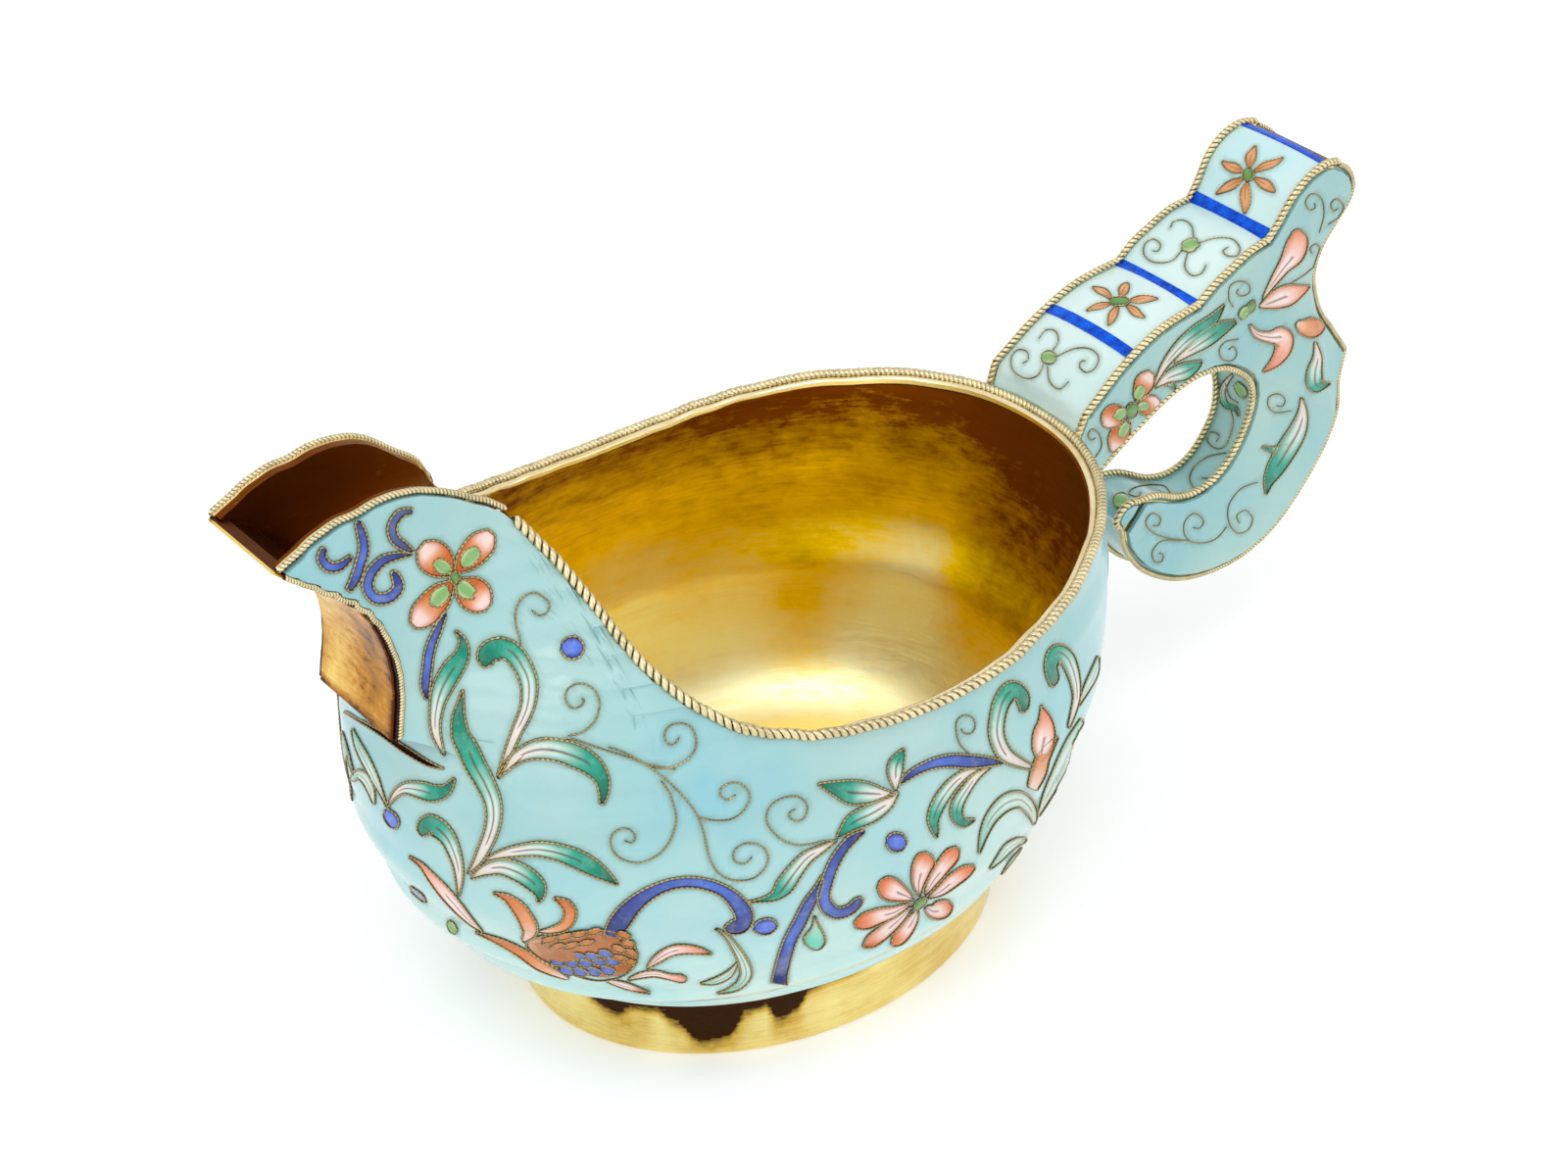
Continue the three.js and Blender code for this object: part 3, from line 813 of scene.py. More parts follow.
class Paint(Enum):
    """Kinds of enamel cell."""

    LEAF = Recipe(((0, tint(206, 196, 176)), (0.22, tint(232, 220, 214)), (0.42, tint(196, 224, 212)),
                   (0.6, tint(44, 168, 142)), (0.8, tint(16, 128, 104)), (1, tint(10, 92, 70))),
                  tint(34, 132, 108), 0.75, tint(86, 30, 44), (0.2, 0.66))
    PALE = Recipe(((0, tint(200, 208, 184)), (0.5, tint(206, 228, 216)), (1, tint(96, 182, 158))),
                  tint(86, 150, 126), 0.6, tint(88, 128, 110), (0.15, 0.8))
    PINK = Recipe(((0, tint(216, 190, 172)), (0.4, tint(248, 228, 224)), (0.7, tint(236, 168, 142)),
                   (1, tint(208, 104, 62))), tint(212, 112, 70), 0.75, tint(132, 54, 60), (0.1, 0.5))
    PETAL = Recipe(((0, tint(120, 60, 52)), (0.16, tint(238, 212, 208)), (0.5, tint(244, 216, 208)),
                    (0.72, tint(230, 134, 84)), (1, tint(206, 86, 26))), tint(214, 100, 44), 0.85,
                   tint(112, 34, 44), (0.03, 0.42))
    BLOOM = Recipe(((0, tint(196, 92, 20)), (0.4, tint(204, 100, 28)), (0.58, tint(222, 150, 104)),
                    (0.72, tint(240, 210, 204)), (0.9, tint(242, 208, 198)), (1, tint(212, 118, 60))),
                   tint(204, 102, 34), 0.8, inner=0.45)
    ORANGE = Recipe(((0, tint(238, 210, 194)), (0.35, tint(226, 152, 100)), (1, tint(190, 90, 18))),
                    tint(190, 100, 36), 0.7)
    AMBER = Recipe(((0, tint(190, 116, 56)), (0.5, tint(226, 168, 118)), (1, tint(196, 122, 70))),
                   tint(168, 102, 54), 0.5, tint(150, 84, 50), (0.1, 0.6))
    BLUE = Recipe(((0, tint(30, 38, 84)), (0.22, tint(60, 78, 152)), (0.55, tint(82, 114, 204)),
                   (0.85, tint(48, 64, 142)), (1, tint(26, 32, 80))), tint(36, 46, 96), 0.9)
    DUSK = Recipe(((0, tint(60, 66, 108)), (0.5, tint(88, 104, 156)), (1, tint(46, 50, 84))),
                  tint(44, 50, 84), 0.6)
    DOT = Recipe(((0, tint(52, 72, 166)), (0.5, tint(98, 128, 226)), (1, tint(56, 78, 172))),
                 tint(36, 50, 122), 0.9)
    GREEN = Recipe(((0, tint(128, 172, 104)), (0.5, tint(130, 178, 106)), (1, tint(118, 164, 96))),
                   tint(196, 210, 158), 0.85)
    SEED = Recipe(((0, tint(86, 124, 56)), (0.5, tint(104, 152, 76)), (1, tint(86, 124, 56))),
                  tint(50, 72, 32), 0.7)
    DROP = Recipe(((0, tint(196, 216, 198)), (0.6, tint(120, 208, 186)), (1, tint(96, 192, 168))),
                  tint(120, 170, 150), 0.5)
    SCALE = Recipe(((0, tint(210, 160, 120)), (0.4, tint(190, 112, 52)), (1, tint(176, 92, 30))),
                   tint(150, 84, 34), 0.5)
    RUST = Recipe(((0, tint(150, 72, 16)), (0.5, tint(206, 116, 36)), (1, tint(168, 82, 16))),
                  tint(222, 158, 92), 0.7)
    SLATE = Recipe(((0, tint(62, 80, 152)), (0.5, tint(96, 118, 192)), (1, tint(58, 74, 146))),
                   tint(150, 148, 176), 0.7)


@dataclass(frozen=True)
class Cell:
    """One enamel cell, drawn by its middle line.

    Attributes:
        paint: Its kind.
        line: (x, y, half width) along its middle, from base to tip.
    """

    paint: Paint
    line: tuple[Triple, ...]


def oval(paint: Paint, x: float, y: float, long: float, wide: float, angle: float = 0) -> Cell:
    """Oval cell of the drawing.

    Args:
        paint: Its kind.
        x: Place of its middle across the picture.
        y: Place of its middle down the picture.
        long: Half its length.
        wide: Half its width.
        angle: Turn of its length, in degrees clockwise from level.

    Returns:
        The cell, in whole pixels along and in tenths across.
    """
    across, down = math.cos(math.radians(angle)), math.sin(math.radians(angle))
    return Cell(paint, tuple(
        (round(x + long * way * across), round(y + long * way * down),
         round(wide * max(math.sqrt(1 - way * way), 0.12), 1)) for way in (-1, -0.86, -0.5, 0, 0.5, 0.86, 1)))


def both(paint: Paint, line: Sequence[Triple]) -> tuple[Cell, Cell]:
    """Cell of the back, and the same one mirrored."""
    return Cell(paint, tuple(line)), Cell(paint, tuple((-y, z, half) for y, z, half in line))


def pair(trace: Trace) -> tuple[Trace, Trace]:
    """Wire of the back, and the same one mirrored."""
    return trace, tuple((-y, z) for y, z in trace)


# Ornament traced in pixels of the 1600 x 1200 photograph: (x, y, half width) along each cell
SIDE_CELLS: tuple[Cell, ...] = (
    Cell(Paint.BLUE, ((364, 532, 2.8), (368, 542, 4.7), (371, 559, 5.3), (367, 576, 5.3), (362, 591, 5.3),
        (355, 602, 3.3))),
    Cell(Paint.BLUE, ((330, 559, 2.8), (328, 569, 5), (335, 578, 5.3), (347, 577, 4.7), (358, 568, 2.8))),
    Cell(Paint.DUSK, ((420, 521, 2.8), (408, 524, 4.4), (400, 536, 4.7), (402, 549, 5), (413, 558, 4.4),
        (421, 563, 1.7))),
    Cell(Paint.BLUE, ((420, 565, 1.4), (405, 567, 3.6), (390, 572, 5), (378, 585, 5.6), (375, 599, 5.8),
        (383, 610, 5.8), (397, 609, 5.8), (406, 599, 5.3), (403, 587, 4.2), (399, 584, 2.2))),
    Cell(Paint.BLOOM, ((462, 586, 2.8), (454, 579, 12.8), (445, 571, 17.2), (436, 563, 15.3), (429, 557,
        6.1))),
    Cell(Paint.BLOOM, ((466, 583, 2.8), (474, 574, 10.6), (484, 563, 13.9), (494, 552, 12.8), (501, 543,
        5))),
    Cell(Paint.BLOOM, ((466, 592, 2.8), (474, 599, 13.3), (483, 606, 17.2), (492, 614, 13.9), (498, 619,
        5.6))),
    Cell(Paint.BLOOM, ((461, 594, 2.8), (451, 605, 11.7), (440, 618, 14.4), (429, 630, 12.8), (421, 638,
        4.4))),
    oval(Paint.GREEN, 450.83, 577.78, 10, 7.78, 40),
    oval(Paint.GREEN, 478.89, 568.33, 12.78, 8.33, -48),
    oval(Paint.GREEN, 475, 601.67, 10.56, 9.17, 40),
    oval(Paint.GREEN, 448.06, 608.33, 12.78, 8.61, 132),
    oval(Paint.SEED, 463.89, 588.89, 6.11, 5.56, 60),
    Cell(Paint.BLUE, ((454, 625, 1.7), (447, 641, 4.2), (439, 661, 5), (436, 680, 5), (434, 699, 5), (436,
        713, 1.9))),
    Cell(Paint.LEAF, ((454, 771, 0.8), (447, 755, 3.9), (444, 738, 5.6), (446, 719, 7.5), (451, 702, 10),
        (461, 684, 10.6), (471, 669, 7.8), (472, 654, 3.9), (465, 644, 1.1))),
    Cell(Paint.LEAF, ((477, 891, 1), (485, 882, 3.5), (492, 870, 5.8), (500, 852, 7), (504, 835, 7.8), (503,
        818, 8.5), (496, 800, 9.5), (486, 782, 10.5), (478, 765, 10.5), (470, 750, 9), (468, 732, 6.5),
        (470, 718, 3.5), (472, 704, 0.8))),
    Cell(Paint.LEAF, ((508, 793, 1.1), (518, 769, 3.9), (528, 745, 5.6), (538, 722, 7.2), (540, 699, 8.6),
        (534, 681, 9.4), (523, 666, 10), (511, 661, 10.6), (501, 665, 11.7), (497, 672, 10), (499, 679,
        3.9))),
    oval(Paint.DOT, 583.9, 660.6, 11.7, 11.7),
    Cell(Paint.LEAF, ((508, 794, 1), (519, 780, 4.8), (534, 769, 7.5), (552, 764, 10.5), (571, 766, 11.2),
        (589, 772, 12), (604, 781, 10.5), (614, 794, 7.5), (616, 808, 5), (614, 820, 2.2))),
    Cell(Paint.LEAF, ((494, 878, 1), (510, 872, 4), (528, 868, 6), (548, 866, 7.5), (568, 869, 8.5), (588,
        876, 9.5), (605, 885, 8.5), (619, 894, 5), (630, 902, 1))),
    Cell(Paint.LEAF, ((481, 896, 1), (494, 888, 5.5), (510, 884, 8), (526, 888, 9.5), (540, 896, 9.5), (549,
        905, 8.2), (551, 914, 4.5), (549, 920, 1.2))),
    Cell(Paint.LEAF, ((468, 914, 1), (469, 900, 3.5), (468, 885, 5), (464, 870, 6.5), (458, 856, 8), (449,
        846, 9.5), (439, 841, 10), (434, 846, 8.5), (435, 852, 3.5))),
    Cell(Paint.ORANGE, ((534, 960, 2), (541, 949, 8), (536, 936, 7.5), (529, 926, 6.8), (518, 916, 4), (504,
        911, 1))),
    Cell(Paint.ORANGE, ((550, 950, 1), (561, 949, 3), (576, 944, 5.5), (582, 932, 6.5), (577, 922, 5), (566,
        916, 1.2))),
    Cell(Paint.SCALE, ((538, 962, 3), (550, 965, 11), (568, 969, 16.5), (590, 972, 23), (612, 974, 26),
        (632, 974, 22.5), (644, 973, 14.5), (650, 972, 4))),
    Cell(Paint.BLUE, ((622, 965, 3.5), (625, 952, 8.5), (634, 938, 10.5), (648, 922, 8.5), (665, 910, 6.5),
        (685, 902, 5.5), (705, 900, 5.5), (724, 903, 5.8), (740, 910, 6.5), (752, 921, 8.5), (759, 933,
        9.5), (756, 943, 8.5), (745, 946, 6.5), (740, 944, 2.5))),
    Cell(Paint.PINK, ((660, 988, 1.1), (671, 978, 4.6), (685, 970, 5.2), (700, 968, 4.8), (715, 970, 3.3),
        (726, 973, 0.7))),
    Cell(Paint.PINK, ((641, 999, 1.1), (653, 995, 2.8), (668, 993, 3.3), (683, 996, 3), (695, 998, 3.9),
        (700, 1000, 1.3))),
    Cell(Paint.PINK, ((620, 1000, 1.7), (635, 1004, 3.3), (650, 1009, 2.8), (663, 1013, 0.9))),
    Cell(Paint.ORANGE, ((580, 998, 1), (569, 993, 3.2), (550, 984, 5), (531, 971, 5), (510, 960, 3.5), (486,
        951, 0.8))),
    Cell(Paint.PALE, ((730, 947, 0.9), (742, 956, 2.2), (752, 970, 3.9), (759, 983, 5.4), (761, 994, 6.1),
        (754, 1005, 4.3), (742, 1011, 2), (732, 1013, 0.7))),
    Cell(Paint.PALE, ((753, 982, 1.1), (744, 993, 3.5), (731, 1000, 3.5), (715, 1003, 0.7))),
    oval(Paint.DOT, 780.9, 945.2, 12.2, 8.3, -8),
    Cell(Paint.LEAF, ((854, 857, 0.9), (840, 865, 3.7), (823, 875, 6.5), (810, 890, 8.3), (800, 904, 9.1),
        (790, 914, 4.8), (777, 918, 2.2), (763, 920, 0.7))),
    Cell(Paint.BLUE, ((882, 848, 1.3), (870, 855, 4.6), (859, 867, 5.2), (850, 882, 5.7), (844, 898, 5.9),
        (840, 913, 6.5), (844, 925, 7.2), (854, 931, 6.1), (866, 928, 5.4), (875, 920, 5), (879, 916,
        2.2))),
    Cell(Paint.BLUE, ((839, 893, 1.1), (834, 907, 4.3), (825, 922, 6.3), (816, 940, 6.5), (807, 957, 6.5),
        (801, 974, 7), (797, 990, 7.2), (795, 1003, 8.3))),
    Cell(Paint.DROP, ((831, 934, 0.7), (832, 944, 3.3), (832, 952, 8.3), (831, 959, 11.3), (830, 965, 8.3),
        (829, 968, 2.2))),
    Cell(Paint.LEAF, ((913, 810, 1.2), (900, 810, 6), (885, 809, 11), (868, 808, 12.5), (852, 804, 7.5),
        (835, 800, 1))),
    Cell(Paint.LEAF, ((914, 806, 1.2), (913, 792, 7), (914, 780, 8), (919, 770, 4.5), (922, 764, 1))),
    Cell(Paint.LEAF, ((916, 808, 1.5), (904, 820, 7), (888, 830, 9.5), (871, 838, 8.5), (859, 849, 4), (854,
        854, 1))),
    Cell(Paint.BLUE, ((1023, 778, 1.5), (1008, 777, 5), (990, 777, 7), (972, 776, 6.8), (955, 778, 5.5),
        (939, 784, 4.5), (926, 792, 3.5), (918, 799, 1.5))),
    oval(Paint.DOT, 914.25, 859.25, 10.5, 10),
    Cell(Paint.LEAF, ((1000, 784, 1), (984, 790, 4.5), (970, 802, 6.5), (958, 819, 7), (952, 835, 6), (954,
        848, 3.5), (956, 854, 1))),
    Cell(Paint.LEAF, ((1011, 782, 1), (996, 792, 3.8), (985, 806, 5), (977, 820, 6.2), (976, 832, 6.2),
        (983, 839, 4.8), (994, 836, 1))),
    Cell(Paint.LEAF, ((1056, 784, 2), (1040, 778, 5.2), (1025, 769, 7.8), (1017, 752, 8), (1017, 735, 8),
        (1022, 716, 8.5), (1032, 704, 9), (1042, 709, 7.5), (1044, 720, 5.5), (1042, 726, 2))),
    Cell(Paint.LEAF, ((1090, 742, 1.5), (1095, 725, 3), (1098, 708, 4), (1095, 688, 6.2), (1088, 671, 8),
        (1078, 666, 8.2), (1072, 678, 6.8), (1074, 692, 6.2), (1073, 700, 2))),
    Cell(Paint.PINK, ((1061, 776, 2), (1062, 765, 9), (1065, 750, 11.5), (1066, 735, 7.2), (1062, 720,
        0.8))),
    Cell(Paint.ORANGE, ((1053, 804, 5.5), (1059, 788, 8.2), (1064, 773, 7), (1072, 760, 4.5), (1079, 752,
        1))),
    Cell(Paint.PALE, ((1056, 843, 1.2), (1052, 827, 6), (1041, 816, 8.5), (1026, 819, 8.5), (1012, 833,
        6.5), (1004, 850, 4.5), (999, 870, 1))),
    Cell(Paint.PALE, ((1059, 832, 1.2), (1069, 810, 5), (1081, 785, 6.8), (1092, 762, 7.5), (1100, 746, 6),
        (1103, 734, 1.8))),
    Cell(Paint.PALE, ((1050, 858, 1), (1040, 858, 3.8), (1028, 865, 4.8), (1018, 877, 3.2), (1010, 886,
        0.8))),
    Cell(Paint.PALE, ((1050, 860, 0.8), (1043, 868, 3), (1032, 880, 3), (1022, 892, 0.8))),
    Cell(Paint.PALE, ((1100, 720, 1), (1108, 703, 3.5), (1116, 686, 4.2), (1120, 670, 1.2))),
    Cell(Paint.PETAL, ((932, 918, 1.5), (922, 913, 7.5), (911, 908, 11.8), (902, 904, 10.8), (896, 902,
        4))),
    Cell(Paint.PETAL, ((929, 922, 1.2), (912, 930, 5.5), (898, 934, 7.8), (882, 940, 8.2), (872, 944, 3))),
    Cell(Paint.PETAL, ((930, 926, 1.2), (916, 938, 5.5), (902, 950, 7.2), (889, 960, 6.8), (881, 966,
        1.5))),
    Cell(Paint.PETAL, ((936, 928, 1.2), (931, 938, 5.5), (924, 949, 7), (916, 958, 6.5), (910, 964, 2))),
    Cell(Paint.PETAL, ((944, 925, 1.5), (951, 929, 7.5), (959, 928, 9.5), (966, 924, 7.5), (970, 921, 3))),
    Cell(Paint.PETAL, ((947, 916, 1.2), (960, 908, 5.2), (972, 898, 7), (985, 889, 6.2), (994, 884, 2))),
    Cell(Paint.PETAL, ((944, 913, 1.2), (951, 900, 5.2), (961, 885, 7.5), (971, 872, 8), (977, 865, 2.5))),
    Cell(Paint.PETAL, ((938, 914, 1.5), (937, 900, 7), (940, 886, 10), (945, 876, 10), (948, 871, 3.5))),
    oval(Paint.SEED, 938, 921.25, 8.5, 4.25, -38),
    *(oval(Paint.RUST, x, y, 8.5, 3, angle) for x, y, angle in ((561.2, 957, -20), (576.2, 954, -15),
        (591.2, 951.5, -12), (606.2, 949, -10), (583, 963, -15), (598.8, 960.5, -12), (568.8, 964.5, -15))),
    *(oval(Paint.RUST, x, y, 8, 3.25, angle) for x, y, angle in ((636.25, 952.5, 15), (641, 961, 20),
        (643.5, 970.5, 20), (642.5, 980, 10), (631.25, 966.25, 20), (633, 976.25, 15))),
    *(oval(Paint.SLATE, x, y, 8, 4, 12) for x, y in ((563.75, 972.5), (576.25, 973.75), (590, 974.5),
        (604.5, 973.8), (617.5, 971.2), (570, 980.5), (583.75, 982), (598, 982), (612, 980.5), (625, 980),
        (578.75, 989), (592.5, 990), (606.25, 990), (620, 988.8))),
)
SIDE_CURLS: tuple[Trace, ...] = (
    ((532, 658), (529, 647), (526, 634), (527, 620), (534, 609), (545, 605), (556, 610), (561, 618), (557,
        626), (549, 628), (542, 622)),
    ((579, 751), (594, 747), (606, 737), (612, 720), (608, 706), (599, 699), (588, 698), (579, 704), (577,
        714), (583, 722), (592, 721), (596, 715), (593, 712)),
    ((510, 792), (528, 777), (548, 758), (570, 755), (584, 754), (608, 762), (630, 769), (648, 775), (662,
        780), (690, 785)),
    ((620, 762), (633, 766), (647, 773), (662, 782), (677, 793), (692, 807), (705, 822), (713, 835), (718,
        850), (722, 868), (727, 882), (735, 892), (749, 898), (766, 897), (778, 889), (784, 877), (780,
        866), (771, 861), (759, 861), (750, 867), (748, 875), (752, 880), (760, 881), (766, 876), (767,
        873)),
    ((665, 782), (675, 784), (688, 782), (700, 776), (709, 765), (710, 753), (705, 742), (694, 738), (683,
        741), (678, 749), (680, 757), (686, 760), (691, 756), (693, 752)),
    ((674, 796), (682, 807), (687, 820), (690, 835), (687, 850), (679, 865), (667, 875), (653, 880), (638,
        878), (627, 870), (623, 859), (626, 850), (636, 845), (645, 848), (648, 855), (644, 860), (637,
        857)),
    ((711, 833), (722, 836), (735, 837), (748, 835), (759, 827), (765, 815), (762, 805), (754, 799), (744,
        799), (736, 804), (735, 811), (741, 816), (748, 813), (751, 810)),
    ((853, 857), (840, 858), (827, 861), (813, 862), (800, 858), (790, 850), (783, 840), (783, 828), (791,
        818), (803, 813), (815, 813), (823, 820), (823, 830), (817, 837), (808, 836), (805, 830), (812,
        825)),
    ((990, 770), (980, 760), (976, 748), (976, 736), (983, 730), (992, 732), (995, 741), (991, 748), (984,
        748), (980, 743)),
)
FRONT_CELLS: tuple[Cell, ...] = (
    Cell(Paint.PALE, ((396, 824, 0.8), (390, 810, 2), (383, 794, 4), (374, 776, 4.8), (366, 760, 3.8), (360,
        744, 1.2))),
    Cell(Paint.PALE, ((382, 820, 1.2), (379, 806, 3.8), (373, 794, 5), (365, 790, 4.5), (360, 796, 2))),
    Cell(Paint.LEAF, ((396, 822, 1), (404, 810, 3.5), (415, 804, 6), (430, 806, 8.5), (442, 809, 8.5), (455,
        806, 6), (464, 794, 1.2))),
    oval(Paint.DOT, 400, 835.2, 11, 6.5, 56),
    oval(Paint.DUSK, 427, 912.5, 10.5, 3, 44),
    Cell(Paint.PINK, ((492, 950, 1), (480, 939, 3.5), (468, 926, 5.5), (454, 910, 6), (441, 895, 4.5), (430,
        882, 2.5), (418, 874, 0.8))),
    oval(Paint.GREEN, 462, 945.5, 7, 4, 60),
)
HANDLE_CELLS: tuple[Cell, ...] = (
    Cell(Paint.BLOOM, ((1159, 409, 2.5), (1164, 398, 8.1), (1169, 388, 9.7), (1175, 380, 3.8))),
    Cell(Paint.BLOOM, ((1162, 419, 2.5), (1169, 416, 10), (1176, 411, 10.3), (1181, 406, 3.8))),
    Cell(Paint.BLOOM, ((1151, 429, 2.5), (1144, 441, 10), (1139, 452, 9.4), (1135, 461, 2.8))),
    Cell(Paint.BLOOM, ((1148, 419, 2.5), (1139, 422, 10.6), (1132, 429, 10.3), (1128, 436, 3.1))),
    oval(Paint.GREEN, 1161.9, 400, 8.1, 5.3, -62),
    oval(Paint.GREEN, 1165.6, 413.8, 6.2, 5, -20),
    oval(Paint.GREEN, 1146.25, 437.81, 8.75, 5, 115),
    oval(Paint.GREEN, 1142.5, 422.19, 6.88, 5.62, 150),
    oval(Paint.SEED, 1154.4, 419.1, 8.4, 6.2, -60),
    Cell(Paint.LEAF, ((1177, 395, 0.9), (1189, 371, 3.8), (1205, 352, 6.2), (1221, 339, 7.5), (1236, 327,
        5.9), (1249, 311, 0.9))),
    Cell(Paint.LEAF, ((1198, 370, 0.9), (1214, 357, 5.6), (1230, 346, 8.4), (1246, 335, 7.2), (1261, 328,
        2.2))),
    Cell(Paint.LEAF, ((1179, 395, 0.9), (1192, 385, 5.9), (1208, 379, 8.8), (1221, 372, 4.4), (1226, 368,
        0.9))),
    Cell(Paint.LEAF, ((1188, 392, 0.9), (1195, 392, 3.1), (1200, 399, 0.9))),
    oval(Paint.GREEN, 1269.38, 318.44, 7.5, 4.38, -55),
    oval(Paint.SEED, 1275.31, 313.75, 7.5, 4.38, -55),
    Cell(Paint.PINK, ((1288, 306, 0.9), (1299, 288, 4.1), (1310, 272, 6.9), (1319, 260, 10.9), (1324, 247,
        10.6), (1325, 238, 6.9), (1326, 234, 1.6))),
    Cell(Paint.PINK, ((1285, 313, 1.6), (1299, 307, 8.4), (1314, 301, 10.9), (1327, 296, 5.9), (1336, 292,
        0.9))),
    Cell(Paint.PINK, ((1275, 331, 1.2), (1283, 341, 4.1), (1296, 344, 6.2), (1308, 344, 10.6), (1309, 356,
        8.4), (1301, 369, 5.3), (1289, 379, 1.2))),
    Cell(Paint.ORANGE, ((1323, 329, 2.5), (1330, 333, 8.4), (1339, 334, 10.6), (1347, 330, 6.9), (1350, 326,
        1.6))),
    Cell(Paint.LEAF, ((1342, 349, 1.2), (1344, 364, 4.7), (1341, 380, 7.8), (1342, 392, 8.4), (1349, 393,
        4.4), (1357, 391, 0.9))),
    Cell(Paint.LEAF, ((1328, 406, 1.2), (1329, 421, 5.3), (1324, 439, 9.1), (1313, 458, 10.3), (1301, 478,
        8.8), (1294, 492, 5), (1292, 504, 0.9))),
    Cell(Paint.LEAF, ((1313, 455, 2.5), (1300, 459, 3.4), (1288, 456, 0.9))),
)
HANDLE_CURLS: tuple[Trace, ...] = (
    ((1259, 314), (1254, 305), (1255, 292), (1265, 287), (1274, 290), (1275, 298), (1268, 302), (1262, 299),
        (1264, 294)),
    ((1264, 346), (1250, 349), (1244, 358), (1248, 367), (1257, 368), (1262, 361), (1259, 354), (1253,
        357)),
    ((1318, 419), (1302, 421), (1294, 414), (1295, 405), (1304, 402), (1311, 407), (1309, 414), (1302,
        414)),
    ((1284, 492), (1266, 499), (1254, 515), (1254, 533), (1263, 544), (1274, 540), (1278, 529), (1271, 521),
        (1262, 526), (1265, 534)),
    ((1252, 537), (1239, 551), (1220, 554), (1209, 546), (1209, 532), (1219, 524), (1228, 531), (1224, 539),
        (1217, 538)),
    ((1214, 552), (1192, 549), (1176, 543), (1169, 533), (1175, 524), (1184, 528), (1182, 536), (1176,
        536)),
    ((1205, 552), (1186, 552), (1176, 562), (1178, 573), (1185, 573), (1187, 566), (1182, 564)),
    ((1346, 238), (1351, 218), (1348, 202), (1338, 198), (1332, 206), (1336, 214), (1342, 212), (1341,
        207)),
    ((1355, 229), (1367, 221), (1371, 210), (1364, 203), (1358, 208), (1361, 215), (1366, 212)),
    ((1310, 293), (1330, 281), (1344, 268), (1348, 256), (1343, 249), (1337, 253), (1339, 259)),
    ((1117, 467), (1124, 455), (1121, 442), (1114, 438), (1110, 444), (1114, 449), (1118, 446)),
)
LOOP_CELLS: tuple[Cell, ...] = (
    oval(Paint.GREEN, 1266.6, 397.8, 8.8, 5, 60),
    Cell(Paint.LEAF, ((1258, 382, 1.2), (1250, 392, 2.8), (1247, 402, 3.1), (1251, 413, 3.1), (1261, 417,
        2.5), (1264, 424, 0.9))),
    oval(Paint.GREEN, 1144.4, 510.6, 8.1, 7.5),
)
LOOP_CURLS: tuple[Trace, ...] = (
    ((1254, 413), (1258, 427), (1256, 442), (1249, 456), (1239, 457), (1232, 449), (1236, 441), (1244, 444),
        (1241, 451)),
    ((1252, 462), (1233, 466), (1219, 476), (1214, 489), (1221, 500), (1232, 498), (1233, 489), (1225,
        488)),
    ((1250, 389), (1255, 405), (1264, 411)),
    ((1208, 504), (1196, 504), (1188, 496), (1171, 495), (1157, 498), (1152, 504), (1161, 507), (1164,
        502)),
    ((1183, 501), (1192, 505), (1209, 502)),
    ((1138, 518), (1144, 523), (1143, 531), (1137, 535)),
)
STRAP_CELLS: tuple[Cell, ...] = (
    oval(Paint.GREEN, 1070.6, 365.3, 7.8, 6.7),
    oval(Paint.SEED, 1142.2, 307.8, 10.6, 4.7),
    Cell(Paint.AMBER, ((1144, 303, 1.4), (1146, 297, 5), (1149, 292, 3.9), (1151, 289, 1.1))),
    Cell(Paint.AMBER, ((1134, 305, 1.4), (1128, 299, 3.6), (1121, 296, 3.1), (1115, 293, 0.8))),
    Cell(Paint.AMBER, ((1153, 307, 1.4), (1162, 306, 3.9), (1172, 305, 3.1), (1181, 305, 0.8))),
    Cell(Paint.AMBER, ((1150, 312, 1.4), (1157, 317, 4.2), (1162, 321, 3.1), (1168, 324, 0.8))),
    Cell(Paint.AMBER, ((1141, 313, 1.4), (1137, 319, 4.2), (1134, 326, 3.6), (1131, 332, 0.8))),
    Cell(Paint.AMBER, ((1133, 310, 1.4), (1123, 312, 3.3), (1116, 314, 2.5), (1109, 317, 0.8))),
    oval(Paint.GREEN, 1214.4, 250.6, 8.9, 6.7, -15),
    oval(Paint.SEED, 1274.2, 178.6, 6.7, 6.1, 90),
    Cell(Paint.AMBER, ((1275, 171, 1.4), (1276, 162, 5.3), (1279, 155, 3.6), (1281, 149, 0.8))),
    Cell(Paint.AMBER, ((1280, 175, 1.4), (1290, 170, 3.9), (1301, 166, 3.1), (1309, 161, 0.8))),
    Cell(Paint.AMBER, ((1280, 182, 1.4), (1287, 186, 4.4), (1294, 190, 5), (1301, 196, 1.1))),
    Cell(Paint.AMBER, ((1273, 186, 1.4), (1271, 196, 5.3), (1271, 208, 4.7), (1270, 218, 0.8))),
    Cell(Paint.AMBER, ((1268, 182, 1.4), (1258, 188, 4.7), (1249, 193, 3.6), (1241, 198, 0.8))),
    Cell(Paint.AMBER, ((1268, 175, 1.4), (1261, 172, 5), (1253, 169, 3.9), (1247, 165, 1.1))),
)
